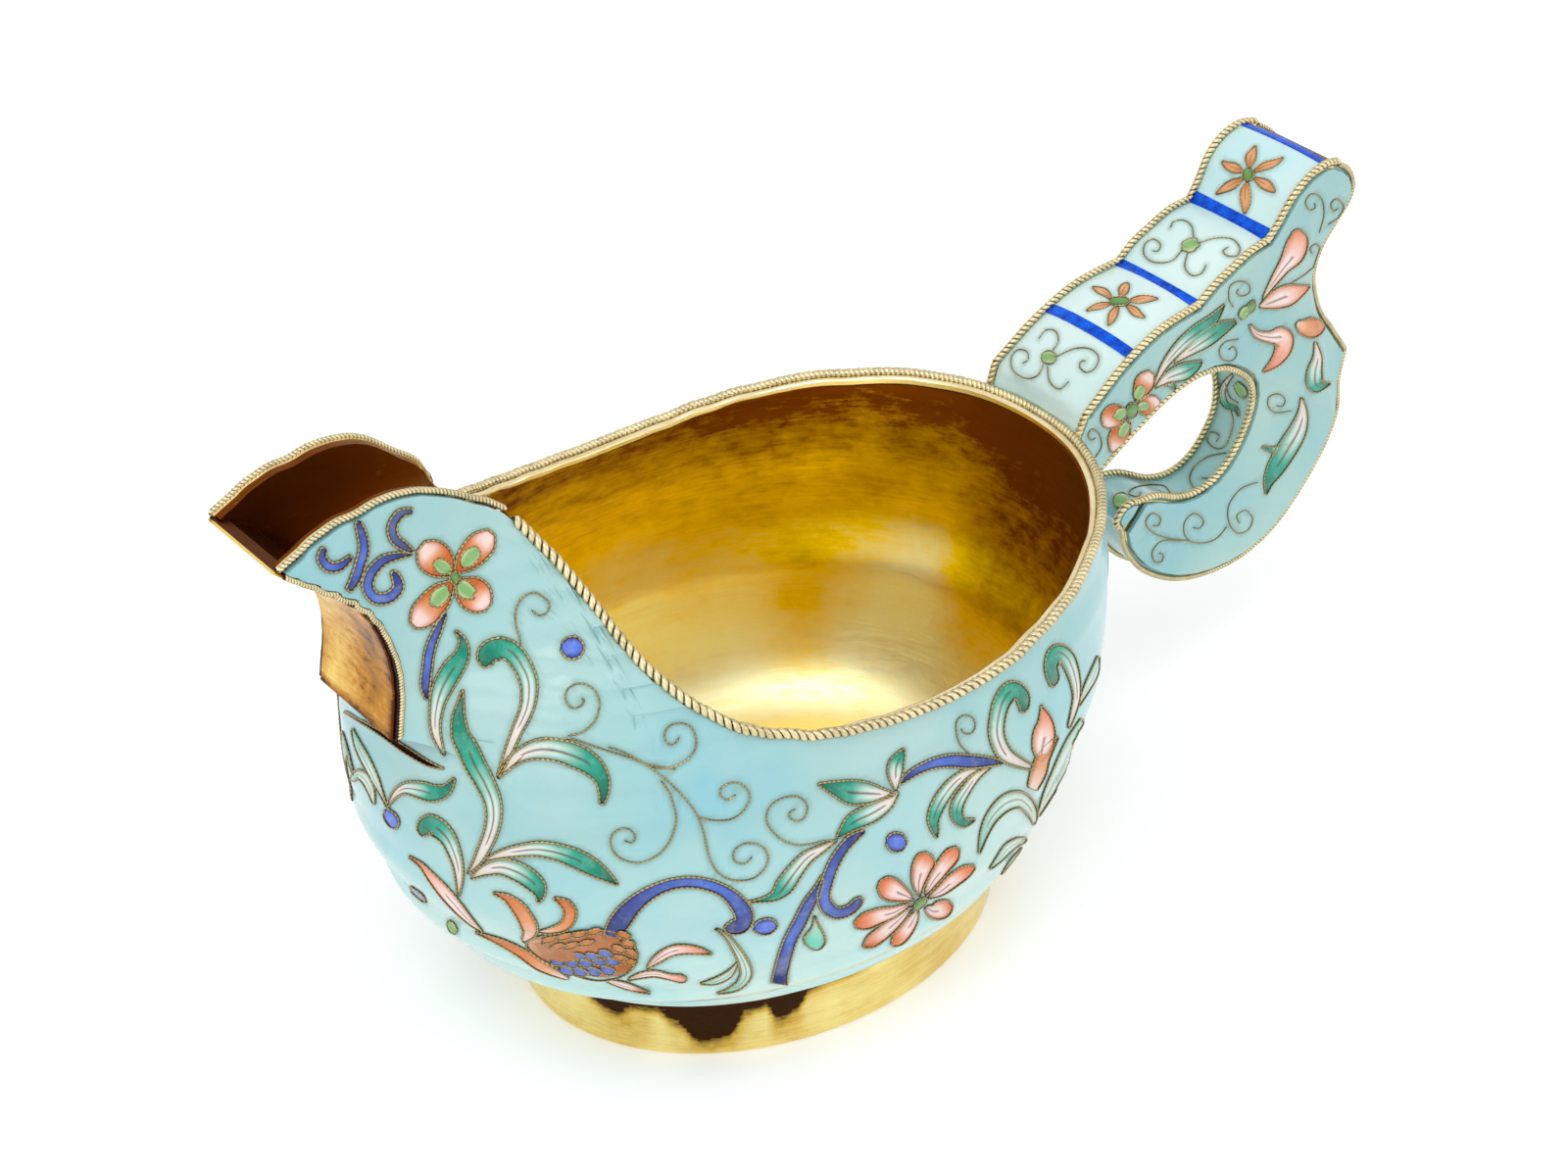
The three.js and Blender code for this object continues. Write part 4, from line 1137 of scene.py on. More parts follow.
STRAP_CURLS: tuple[Trace, ...] = (
    ((1074, 358), (1080, 348), (1077, 338), (1067, 337), (1060, 346)),
    ((1078, 364), (1096, 356), (1112, 356), (1121, 364), (1118, 375), (1109, 380), (1102, 375), (1103, 369),
        (1109, 368)),
    ((1065, 371), (1059, 383), (1047, 386), (1034, 378), (1032, 365), (1039, 357), (1048, 359), (1049, 367),
        (1043, 371)),
    ((1069, 373), (1071, 389), (1081, 397), (1091, 389)),
    ((1218, 243), (1216, 231), (1208, 225), (1198, 226), (1194, 233)),
    ((1223, 248), (1240, 243), (1257, 244), (1265, 253), (1262, 261), (1252, 261), (1248, 256), (1254,
        252)),
    ((1207, 254), (1196, 266), (1179, 268), (1168, 261), (1168, 250), (1176, 244), (1184, 249), (1182, 256),
        (1176, 256)),
    ((1212, 258), (1209, 272), (1216, 281), (1226, 279), (1231, 270)),
)
# Ornament of the back and of the handle's back, in millimetres: (y, z, half width) along each cell
BACK_CELLS: tuple[Cell, ...] = (
    Cell(Paint.PINK, ((0, 13, 0.4), (0, 20, 1.5), (0, 27, 2.2), (0, 33, 1.2), (0, 37, 0.2))),
    *both(Paint.LEAF, ((1.2, 13, 0.3), (3.4, 19, 1.3), (6.8, 25, 1.8), (9.6, 31, 1.3), (10, 36.5, 0.2))),
    *both(Paint.ORANGE, ((0, 38.5, 0.4), (1.8, 39.6, 0.9), (3.6, 42.2, 0.9), (4.2, 44.6, 0.2))),
    Cell(Paint.DOT, ((-1.1, 41.8, 0.3), (-0.5, 41.8, 0.9), (0, 41.8, 1.1), (0.5, 41.8, 0.9),
                     (1.1, 41.8, 0.3))),
)
BACK_CURLS: tuple[Trace, ...] = (
    *pair(((2.4, 15.2), (6.6, 17.6), (10.8, 19), (13.6, 22.4), (12.6, 25.8), (9.6, 25.6), (9.4, 23),
           (11.2, 22.6))),
    *pair(((2, 30), (4.4, 33.4), (6.8, 37.6), (6, 40.8), (3.8, 40.2), (4.2, 38.2))),
)
HEEL_CURLS: tuple[Trace, ...] = (
    ((-3.6, 19), (-1, 21.4), (2.4, 21.2), (3.4, 23.8), (1.4, 25.2), (-0.2, 23.8), (1.2, 23)),
    ((3.6, 27), (1, 29.4), (-2.4, 29.2), (-3.4, 31.8), (-1.4, 33.2), (0.2, 31.8), (-1.2, 31)),
    ((-3.4, 35), (-0.8, 37.2), (2.4, 37), (3.2, 39.6), (1.2, 40.8), (-0.4, 39.4), (1, 38.6)),
)
HEEL_CELLS: tuple[Cell, ...] = (
    Cell(Paint.GREEN, ((0, 44.2, 0.3), (0, 44.8, 0.9), (0, 45.6, 1.1), (0, 46.4, 0.9), (0, 47, 0.3))),
)


@dataclass(frozen=True)
class PhotoCamera:
    """The photograph's camera, in its own 1600 x 1200 pixels.

    Attributes:
        eye: Where it stands.
        right: Direction of the picture's right.
        up: Direction of the picture's top.
        focal: Focal length in pixels.
        size: Width and height of the picture in pixels.
        sensor: Width of the sensor in millimetres.
        clip: Nearest and farthest distance that it sees, in metres.
    """

    eye: Vector = Vector((-170.14, -215.19, 234.12))
    right: Vector = Vector((0.77805, -0.62820, 0.0))
    up: Vector = Vector((0.35896, 0.44459, 0.82068))
    focal: float = 3236.44
    size: tuple[int, int] = (1600, 1200)
    sensor: float = 36.0
    clip: Pair = (0.01, 10)

    def ray(self, x: float, y: float) -> tuple[Vector, Vector]:
        """Line of sight through a pixel.

        Args:
            x: Pixels from the left.
            y: Pixels from the top.

        Returns:
            Where it starts and its unit direction.
        """
        ahead = self.up.cross(self.right)
        across = (x - self.size[0] / 2) / self.focal
        down = (y - self.size[1] / 2) / self.focal
        return self.eye, (ahead + self.right * across - self.up * down).normalized()

    def place(self) -> bpy.types.Object:
        """Puts the camera in the scene.

        Returns:
            The camera.
        """
        data = bpy.data.cameras.new("photo_camera")
        data.sensor_width = self.sensor
        data.lens = self.focal / self.size[0] * self.sensor
        data.clip_start, data.clip_end = self.clip
        camera = show("photo_camera", data)
        turned = Matrix((self.right, self.up, -self.up.cross(self.right))).transposed().to_4x4()
        camera.matrix_world = Matrix.Translation(self.eye * MM) @ turned
        bpy.context.scene.camera = camera
        return camera


@dataclass(frozen=True)
class FlatView:
    """Straight view along X, for ornament that the photograph doesn't show.

    Attributes:
        start: X that its lines of sight start at.
    """

    start: float

    def ray(self, y: float, z: float) -> tuple[Vector, Vector]:
        """Line of sight through a place in millimetres.

        Args:
            y: Across the vessel.
            z: Up.

        Returns:
            Where it starts and its unit direction.
        """
        return Vector((self.start, y, z)), Vector((-math.copysign(1, self.start), 0, 0))


@dataclass(frozen=True)
class Walls:
    """Shape of the bowl and the prow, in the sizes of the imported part."""

    # Foot
    foot_length: float = 58
    foot_width: float = 44.8
    foot_height: float = 8
    # Bowl and rim
    front_reach: float = 47.6
    back_reach: float = 40.8
    half_width: float = 32
    overhang: float = 0.3
    ledge: float = 50.5
    rim_low: float = 46
    rim_back: float = 39.9
    # Prow, its channel and its far rim, which comes down sooner
    prow_reach: float = 59.2
    prow_top: float = 76.9
    prow_tip: float = 73.7
    tip_half: float = 6.3
    foot_half: float = 6.9
    dip_lead: float = 1.7
    # Power of the oval, and how far apart the surface is probed
    squareness: float = 2.1
    probe_turn: float = 0.03
    probe_rise: float = 0.8
    overshoot: float = 1.3
    halvings: int = 28
    # How the cheeks lean forward to the plate, and the gaps between the parts
    lean_low: float = 0.11
    lean_high: float = 0.26
    lean_rise: float = 0.45
    lean_power: float = 1.5
    prow_wire: float = 0.7
    fit: float = 0.3
    plate_ease: float = 1.7
    rim_ease: float = 0.011
    # Stations along the rim, as shares of the ledge's reach
    first_cheek: float = -0.955
    rim_start: float = -0.73
    cheek_end: float = -0.68
    soft: float = 3
    # Skirt of a cheek's enamel below the ledge
    skirted: bool = False
    slit_end: float = -0.915
    slit_drop: float = 2.9
    skirt_end: float = -0.86
    skirt_drop: float = 7
    # Outline of the bowl by height, of the channel's squeeze, of the plate and of the rim
    levels: tuple[float, ...] = (0, 0.035, 0.094, 0.212, 0.376, 0.588, 0.8, 0.9, 1)
    front_shares: tuple[float, ...] = (0.647, 0.714, 0.828, 0.924, 0.987, 1, 0.992, 0.972)
    back_shares: tuple[float, ...] = (0.726, 0.745, 0.795, 0.887, 0.971, 1, 0.99, 0.973)
    half_shares: tuple[float, ...] = (0.753, 0.825, 0.894, 0.956, 1, 0.967, 0.94, 0.928)
    squeeze_levels: tuple[float, ...] = (
        -0.07, 0.05, 0.145, 0.24, 0.31, 0.388, 0.463, 0.557, 0.641, 0.712, 0.8, 0.88)
    spreads: tuple[float, ...] = (1, 0.99, 0.97, 0.88, 0.78, 0.64, 0.51, 0.35, 0.21, 0.1, 0.015, 0)
    plate_levels: tuple[float, ...] = (
        0, 0.03, 0.18, 0.27, 0.37, 0.47, 0.58, 0.67, 0.74, 0.82, 0.88, 0.95, 1, 1.06, 1.14)
    plate_reaches: tuple[float, ...] = (
        0.836, 0.833, 0.824, 0.819, 0.821, 0.829, 0.843, 0.858, 0.882, 0.914, 0.946, 0.98, 1, 1.03, 1.072)
    rim_places: tuple[float, ...] = (
        -1, -0.965, -0.926, -0.878, -0.856, -0.818, -0.782, -0.747, -0.709, -0.676, -0.637, -0.608, -0.586,
        -0.574, -0.564, -0.551, -0.534, -0.524, -0.513, -0.505, -0.49, -0.466, -0.434, -0.405, -0.368, -0.311,
        -0.243, -0.169, -0.093, 0, 0.13, 0.243, 0.373, 0.494, 0.727, 0.902, 1)
    rim_rises: tuple[float, ...] = (
        0.896, 0.926, 0.964, 0.987, 0.984, 1, 1, 0.987, 0.958, 0.922, 0.874, 0.838, 0.799,
        0.754, 0.712, 0.68, 0.631, 0.592, 0.518, 0.463, 0.388, 0.311, 0.239, 0.188, 0.142, 0.097,
        0.058, 0.032, 0.013, 0, 0, 0.006, 0.029, 0.049, 0.084, 0.104, 0.11)
    dip_places: tuple[float, ...] = (-0.73, -0.63, -0.54, -0.3)
    dip_leads: tuple[float, ...] = (0, 1, 1, 0)
    curves: dict[str, Curve] = field(default_factory=dict, hash=False, compare=False)

    def __post_init__(self) -> None:
        """Sets up the curves that the shape is read from."""
        for name, shares, full, seat in (
                ("front", self.front_shares, self.front_reach, self.foot_length / 2),
                ("back", self.back_shares, self.back_reach, self.foot_length / 2),
                ("half", self.half_shares, self.half_width, self.foot_width / 2)):
            reaches = [seat + self.overhang, *(share * full for share in shares)]
            self.curves[name] = Curve(self.levels, reaches)
        self.curves["spread"] = Curve(self.squeeze_levels, self.spreads)
        self.curves["plate"] = Curve(self.plate_levels, self.plate_reaches)
        self.curves["rim"] = Curve(self.rim_places, self.rim_rises)
        self.curves["dip"] = Curve(self.dip_places, self.dip_leads)

    def level(self, height: float) -> Triple:
        """Front reach, back reach and half width of the bowl at a height.

        Args:
            height: The height, softened where the wall passes the ledge.

        Returns:
            The three distances from the middle.
        """
        past = clamp((height - self.ledge) / (2 * self.soft) + 0.5)
        eased = min(height, self.ledge - self.soft) + 2 * self.soft * (past - past * past / 2)
        share = (eased - self.foot_height) / (self.ledge - self.foot_height)
        return tuple(self.curves[name].at(share) for name in ("front", "back", "half"))

    def channel(self, height: float) -> float:
        """Half width of the prow's channel at a height."""
        share = rising(height, self.ledge, self.prow_tip - self.ledge)
        return lerp(self.foot_half, self.tip_half, share)

    def plate_face(self, height: float) -> float:
        """X of the front plate's face at a height.

        Args:
            height: The height.

        Returns:
            The face's X, averaged over three heights so that it bends softly.
        """
        room = self.prow_tip - self.ledge
        shares = [(height + i * self.plate_ease - self.ledge) / room for i in (-1, 0, 1)]
        return -self.prow_reach * sum(self.curves["plate"].at(share) for share in shares) / 3

    def cheek_face(self, height: float) -> float:
        """X of the cheeks' front edges at a height."""
        return self.plate_face(height) + self.prow_wire + self.fit

    def plate_slope(self, height: float) -> float:
        """How far the front plate's face goes in X for a step up, at a height."""
        reach = self.probe_rise
        return (self.plate_face(height + reach) - self.plate_face(height - reach)) / (2 * reach)

    def point(self, turn: float, height: float) -> Vector:
        """Point of the outer surface, Y being positive.

        Args:
            turn: 0 at the front to pi at the back.
            height: Height of the point.

        Returns:
            The point, leaning forward above the ledge.
        """
        front, back, half = self.level(height)
        forward = math.cos(turn)
        power = 2 / self.squareness
        x = -signed_power(forward, power) * (front if forward > 0 else back)
        y = half * signed_power(math.sin(turn), power)
        channel = self.channel(height)
        if y > channel:
            squeeze = (height - self.rim_low) / (self.prow_top - self.rim_low)
            y = channel + (y - channel) * self.curves["spread"].at(squeeze)
        if height > self.ledge + self.probe_rise / 100 or self.skirted:
            edge = self.station(self.first_cheek)
            rise = (height - self.ledge) / (self.prow_top - self.ledge) / self.lean_rise
            reach = lerp(self.lean_low, self.lean_high, clamp(rise)) * self.front_reach
            fade = clamp(1 - (x - edge) / reach) ** self.lean_power
            if height < self.ledge:
                low, proud = self.skirt(turn)
                share = clamp((height - low) / max(self.ledge - low, 0.01))
                fade *= lerp(proud, 1, share * share * (3 - 2 * share))
            x += (self.cheek_face(height) - edge) * fade
            y += (channel - y) * fade
        return Vector((x, y, height))

    def station(self, share: float) -> float:
        """X of a share of the ledge's reach."""
        front, back, _ = self.level(self.ledge)
        return share * (front if share < 0 else back)

    def turn(self, share: float) -> float:
        """Turn at which a column stands at a share of the ledge's reach."""
        return math.acos(clamp(-signed_power(share, self.squareness / 2), -1, 1))

    def skirt(self, turn: float) -> Pair:
        """Where a cheek's enamel ends below the ledge.

        Args:
            turn: Where the column stands.

        Returns:
            Its height and how much of the cheek's lean is left there, 1 at the front to 0 past the slit.
        """
        start, slit, end = (self.turn(share) for share in (self.first_cheek, self.slit_end, self.skirt_end))
        along = clamp((turn - start) / (slit - start))
        beyond = clamp((turn - slit) / (end - slit))
        return self.ledge - lerp(self.slit_drop * along, self.skirt_drop, beyond), 1 - along

    def normal(self, turn: float, height: float) -> Vector:
        """Outward normal of the surface, taken over a short patch.

        Args:
            turn: Where on the surface.
            height: Height of the point.

        Returns:
            The unit normal, probed on this side of the ledge only.
        """
        low, high = height - self.probe_rise, height + self.probe_rise
        if self.skirted:
            low = max(low, self.skirt(turn)[0])
            high = max(high, low + self.probe_rise)
        elif height > self.ledge:
            low = max(low, self.ledge + self.probe_rise / 10)
        else:
            high = min(high, self.ledge)
        along = self.point(turn + self.probe_turn, height) - self.point(turn - self.probe_turn, height)
        return -along.cross(self.point(turn, high) - self.point(turn, low)).normalized()

    def rim_height(self, x: float, side: Side) -> float:
        """Height of the rim at a place along the vessel.

        Args:
            x: The place.
            side: Side of the vessel, since the far cheek comes down sooner.

        Returns:
            The height.
        """
        lead = 0.0
        if side is Side.FAR and x < 0:
            lead = self.dip_lead * self.curves["dip"].at(x / self.prow_reach)
        share = (x + lead) / self.prow_reach if x < 0 else x / self.rim_back
        rises = [self.curves["rim"].at(clamp(share + i * self.rim_ease, -1, 1)) for i in (-1, 0, 1)]
        return lerp(self.rim_low, self.prow_top, sum(rises) / 3)

    def top(self, turn: float, side: Side) -> float:
        """Height at which a column meets the rim, by halving.

        Args:
            turn: Where the column stands.
            side: Side of the vessel.

        Returns:
            The height.
        """
        low, high = self.foot_height, self.prow_top * self.overshoot
        for _ in range(self.halvings):
            middle = (low + high) / 2
            if middle < self.rim_height(self.point(turn, middle).x, side):
                low = middle
            else:
                high = middle
        return low

    def rim(self, turn: float, side: Side) -> tuple[Vector, Vector, Vector]:
        """The rim at a column.

        Args:
            turn: Where the column stands.
            side: Side of the vessel.

        Returns:
            Its point, the wall's outward normal and the way up out of the edge, all with Y positive.
        """
        step = self.probe_turn
        here = self.point(turn, self.top(turn, side))
        ahead = self.point(turn + step, self.top(turn + step, side))
        behind = self.point(turn - step, self.top(turn - step, side))
        normal = self.normal(turn, here.z)
        up = (ahead - behind).normalized().cross(normal).normalized()
        return here, normal, up if up.z > 0 else -up

    def edge(self, turn: float, side: Side, clearance: float) -> float:
        """Height of a column's top edge, a clearance below the rim."""
        here, _, up = self.rim(turn, side)
        return here.z - clearance / max(abs(up.z), 0.2)

    def rim_point(self, turn: float, side: Side, inward: float, lift: float) -> Vector:
        """Point beside the rim, on its own side of the vessel.

        Args:
            turn: Where along the rim.
            side: Side of the vessel.
            inward: How far to the inside.
            lift: How far up out of the edge.

        Returns:
            The point.
        """
        here, normal, up = self.rim(turn, side)
        place = here - normal * inward + up * lift
        return place if side is Side.FAR else mirrored(place)


def columns(walls: Walls, start: float, end: float, spacing: float) -> list[float]:
    """Turns of evenly spaced columns at mid height.

    Args:
        walls: The shape.
        start: First turn.
        end: Last turn.
        spacing: Distance wanted between columns.

    Returns:
        The turns, both ends among them.
    """
    fine = [lerp(start, end, i / FINE_COLUMNS) for i in range(FINE_COLUMNS + 1)]
    lengths = distances([walls.point(turn, walls.ledge) for turn in fine])
    count = max(4, round(lengths[-1] / spacing))
    return [lerp(fine[i], fine[i + 1], share) for i, share in marks(lengths, count)]


@dataclass
class Skin:
    """A wall between two depths under the outer surface, as a closed loop of rows at each column.

    Attributes:
        walls: The shape it follows.
        shallow: Depth of its outer face.
        deep: Depth of its inner face.
        clearance: Distance of its top edge below the rim.
        outer_rows: Rows of its outer face.
        inner_rows: Rows of its inner face.
        below: Share of the rows that lie below the ledge.
        peak: Height that its rows over the ledge are spread to, or 0 for its own top.
    """

    walls: Walls
    shallow: float
    deep: float
    clearance: float
    outer_rows: int
    inner_rows: int
    below: float = 0.62
    peak: float = 0

    def under(self, turn: float, height: float, depth: float, side: Side, level: bool) -> Vector:
        """Point under the surface, kept at its height where the wall is cut level."""
        place = self.walls.point(turn, height) - self.walls.normal(turn, height) * depth
        return Vector((place.x, place.y * side.value, height if level else place.z))

    def column(self, turn: float, side: Side, low: float, high: float, cut_top: bool) -> list[Vector]:
        """Closed loop of points round the wall at one column.

        Args:
            turn: Where the column stands.
            side: Side of the vessel.
            low: Height of its foot.
            high: Height of its top.
            cut_top: Whether the top is cut level, as at the ledge.

        Returns:
            The loop, up the outer face and down the inner one, ending where it began.
        """
        def at(share: float, depth: float) -> Vector:
            """Point at a share of the height."""
            level = share == 0 or (share == 1 and cut_top)
            return self.under(turn, lerp(low, high, share), depth, side, level)

        level = clamp((self.walls.ledge - low) / (high - low)) if self.below else 0.0

        def shares(rows: int) -> list[float]:
            """Shares of the height, with the same number of rows below the ledge in every column.

            Args:
                rows: Number of spans.

            Returns:
                The shares, rising.
            """
            below = round(rows * self.below)
            lower = [level * i / below for i in range(below)]
            upper = [i / (rows - below) for i in range(rows - below + 1)]
            if self.peak:
                heights = [lerp(self.walls.ledge, self.peak, part) for part in upper[:-1]]
                return lower + [clamp((height - low) / (high - low), level) for height in heights] + [1]
            return lower + [lerp(level, 1, part) for part in upper]

        outer = [at(share, self.shallow) for share in shares(self.outer_rows)]
        inner = [at(share, self.deep) for share in reversed(shares(self.inner_rows))]
        return [*outer, *inner, outer[0]]


def crossing(line: Sequence[Vector], height: float) -> Vector:
    """Point where a falling line passes a height, or its nearer end.

    Args:
        line: Points from high to low.
        height: The height.

    Returns:
        The point.
    """
    for above, below in zip(line, line[1:]):
        if below.z <= height < above.z:
            return above.lerp(below, (above.z - height) / (above.z - below.z))
    return line[0].copy() if height >= line[0].z else line[-1].copy()


def lay(sheet: Sheet, loops: Loops,
        shade: Optional[Callable[[float, float], float]] = None) -> list[bmesh.types.BMVert]:
    """Lays a grid through loops of points.

    Args:
        sheet: The mesh in the making.
        loops: Loops of one length.
        shade: Painted shade for two shares of the grid.

    Returns:
        The grid's vertices.
    """
    across, along = len(loops) - 1, len(loops[0]) - 1
    return sheet.grid(across, along, lambda u, v: loops[round(u * across)][round(v * along)], shade=shade)


def closed(loops: Loops, shade: Optional[Callable[[float, float], float]] = None) -> Sheet:
    """Closed sheet through loops of points.

    Args:
        loops: Loops of one length.
        shade: Painted shade for two shares of the grid.

    Returns:
        The sheet.
    """
    sheet = Sheet()
    lay(sheet, loops, shade)
    sheet.close()
    return sheet


@dataclass(frozen=True)
class Rope:
    """Two wires twisted together.

    Attributes:
        diameter: Width over both wires.
        lay: Length of one full twist.
        sides: Sides of each wire.
        rings: Rings in one full twist.
        strand: Half thickness of each wire, as a share of the diameter.
        slant: How far a wire goes along the rope and round it at each step.
        spread: How many times as wide as thick each wire is.
    """

    diameter: float
    lay: float
    sides: int = 8
    rings: int = 12
    strand: float = 0.27
    slant: Pair = (0.55, 0.835)
    spread: float = 1.25

    def wind(self, sheet: Sheet, path: Sequence[Vector], start: Vector,
             tightness: Optional[Curve] = None) -> None:
        """Winds the rope along a path.

        Args:
            sheet: The mesh in the making.
            path: Corners of the middle line.
            start: Rough direction that the twist is counted from.
            tightness: How many times as tight it is along its length, if it varies.
        """
        line = evenly(path, self.lay / self.rings)
        side = start
        frames = []
        for before, after in neighbours(line):
            way = (after - before).normalized()
            side = (side - way * side.dot(way)).normalized()
            frames.append((way, side, way.cross(side)))
        strand = self.diameter * self.strand
        swing = self.diameter / 2 - strand
        turns = (2 * math.pi / self.rings * (tightness.at(i / len(line)) if tightness else 1)
                 for i in range(1, len(line)))
        wound = list(accumulate(turns, initial=0.0))
        for phase in (0, math.pi):
            twists = [turn + phase for turn in wound]

            def surface(u: float, v: float) -> Vector:
                """Point of one strand.

                Args:
                    u: Share of the rope's length.
                    v: Share of the way round the strand.

                Returns:
                    The point.
                """
                i = round(u * (len(line) - 1))
                way, first, second = frames[i]
                cosine, sine = math.cos(twists[i]), math.sin(twists[i])
                out = first * cosine + second * sine
                onward, round_it = self.slant
                beside = (way * onward + (second * cosine - first * sine) * round_it).cross(out)
                turn = 2 * math.pi * v
                wide = beside * strand * self.spread
                return line[i] + out * (swing + strand * math.cos(turn)) + wide * math.sin(turn)

            # Painted shade: each strand turns dark where it goes into the recess between the two
            sheet.grid(len(line) - 1, self.sides, surface,
                       shade=lambda u, v: 1.1 - 1.1 * math.cos(2 * math.pi * v))

    def piece(self, name: str, finish: Finish, node: str, path: Sequence[Vector], start: Vector,
              tightness: Optional[Curve] = None) -> None:
        """Makes a piece of rope.

        Args:
            name: Name of the piece.
            finish: What it is made of.
            node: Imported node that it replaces.
            path: Corners of the middle line.
            start: Rough direction that the twist is counted from.
            tightness: How many times as tight it is along its length, if it varies.
        """
        sheet = Sheet()
        self.wind(sheet, path, start, tightness)
        sheet.close()
        sheet.piece(name, finish, node, crease=ROPE_CREASE)


@dataclass(frozen=True)
class BeadedWire:
    """Flat wire milled into beads, standing on edge in the enamel.

    Attributes:
        width: Width over a bead.
        pitch: Distance between beads.
        sides: Sides of the wire.
        rings: Rings to a bead.
        sink: Share of its width that is under the surface.
        beading: Radius between beads and what a bead adds, as shares of the full radius.
        fullness: Power that rounds the beads, less being fuller.
        taper: Rings over which each end thins.
        tip: Radius that an end thins to, as a share of the full one.
        dirt: Shade painted on the wire's flanks.
    """

    width: float
    pitch: float = 0.52
    sides: int = 5
    rings: int = 4
    sink: float = 0.2
    beading: Pair = (0.66, 0.34)
    fullness: float = 0.7
    taper: int = 3
    tip: float = 0.15
    dirt: float = 0.45

    def set(self, sheet: Sheet, path: Sequence[tuple[Vector, Vector]]) -> list[Vector]:
        """Sets the wire along a path on the enamel.

        Args:
            sheet: The mesh in the making.
            path: Points with the surface's normals.

        Returns:
            Points along the wire, for the dirt beside it.
        """
        places = [place for place, _ in path]
        lengths = distances(places)
        line = evenly(places, self.pitch / self.rings)
        radius = self.width / 2
        last = len(line) - 1
        tubes = []
        for place, (i, share), (before, after) in zip(line, marks(lengths, last), neighbours(line)):
            normal = path[i][1].lerp(path[i + 1][1], share).normalized()
            side = (after - before).cross(normal).normalized()
            tubes.append((place + normal * radius * (1 - 2 * self.sink), side, normal))

        def swell(u: float) -> float:
            """Radius at a share of the length.

            Args:
                u: The share.

            Returns:
                The radius in millimetres.
            """
            i = round(u * last)
            ends = clamp(min(i, last - i) / self.taper, self.tip, 1)
            neck, bead = self.beading
            return radius * ends * (neck + bead * abs(math.sin(math.pi * i / self.rings)) ** self.fullness)

        def surface(u: float, v: float) -> Vector:
            """Point of the wire.

            Args:
                u: Share of its length.
                v: Share of the way round it.

            Returns:
                The point.
            """
            place, side, normal = tubes[round(u * last)]
            turn = 2 * math.pi * (v + 0.25)
            return place + (side * math.cos(turn) + normal * math.sin(turn)) * swell(u)

        # Painted shade: dark in the necks between beads and, by the flank amount, on the flanks
        sheet.grid(last, self.sides, surface,
                   shade=lambda u, v: 1.1 - swell(u) / radius + self.dirt * (0.1 < v < 0.9))
        return line[::self.taper]


LIFTS = {Paint.RUST: 0.16, Paint.SLATE: 0.16, Paint.GREEN: 0.08, Paint.SEED: 0.08}
"""Height over the field of the cells that lie on other cells, in millimetres."""


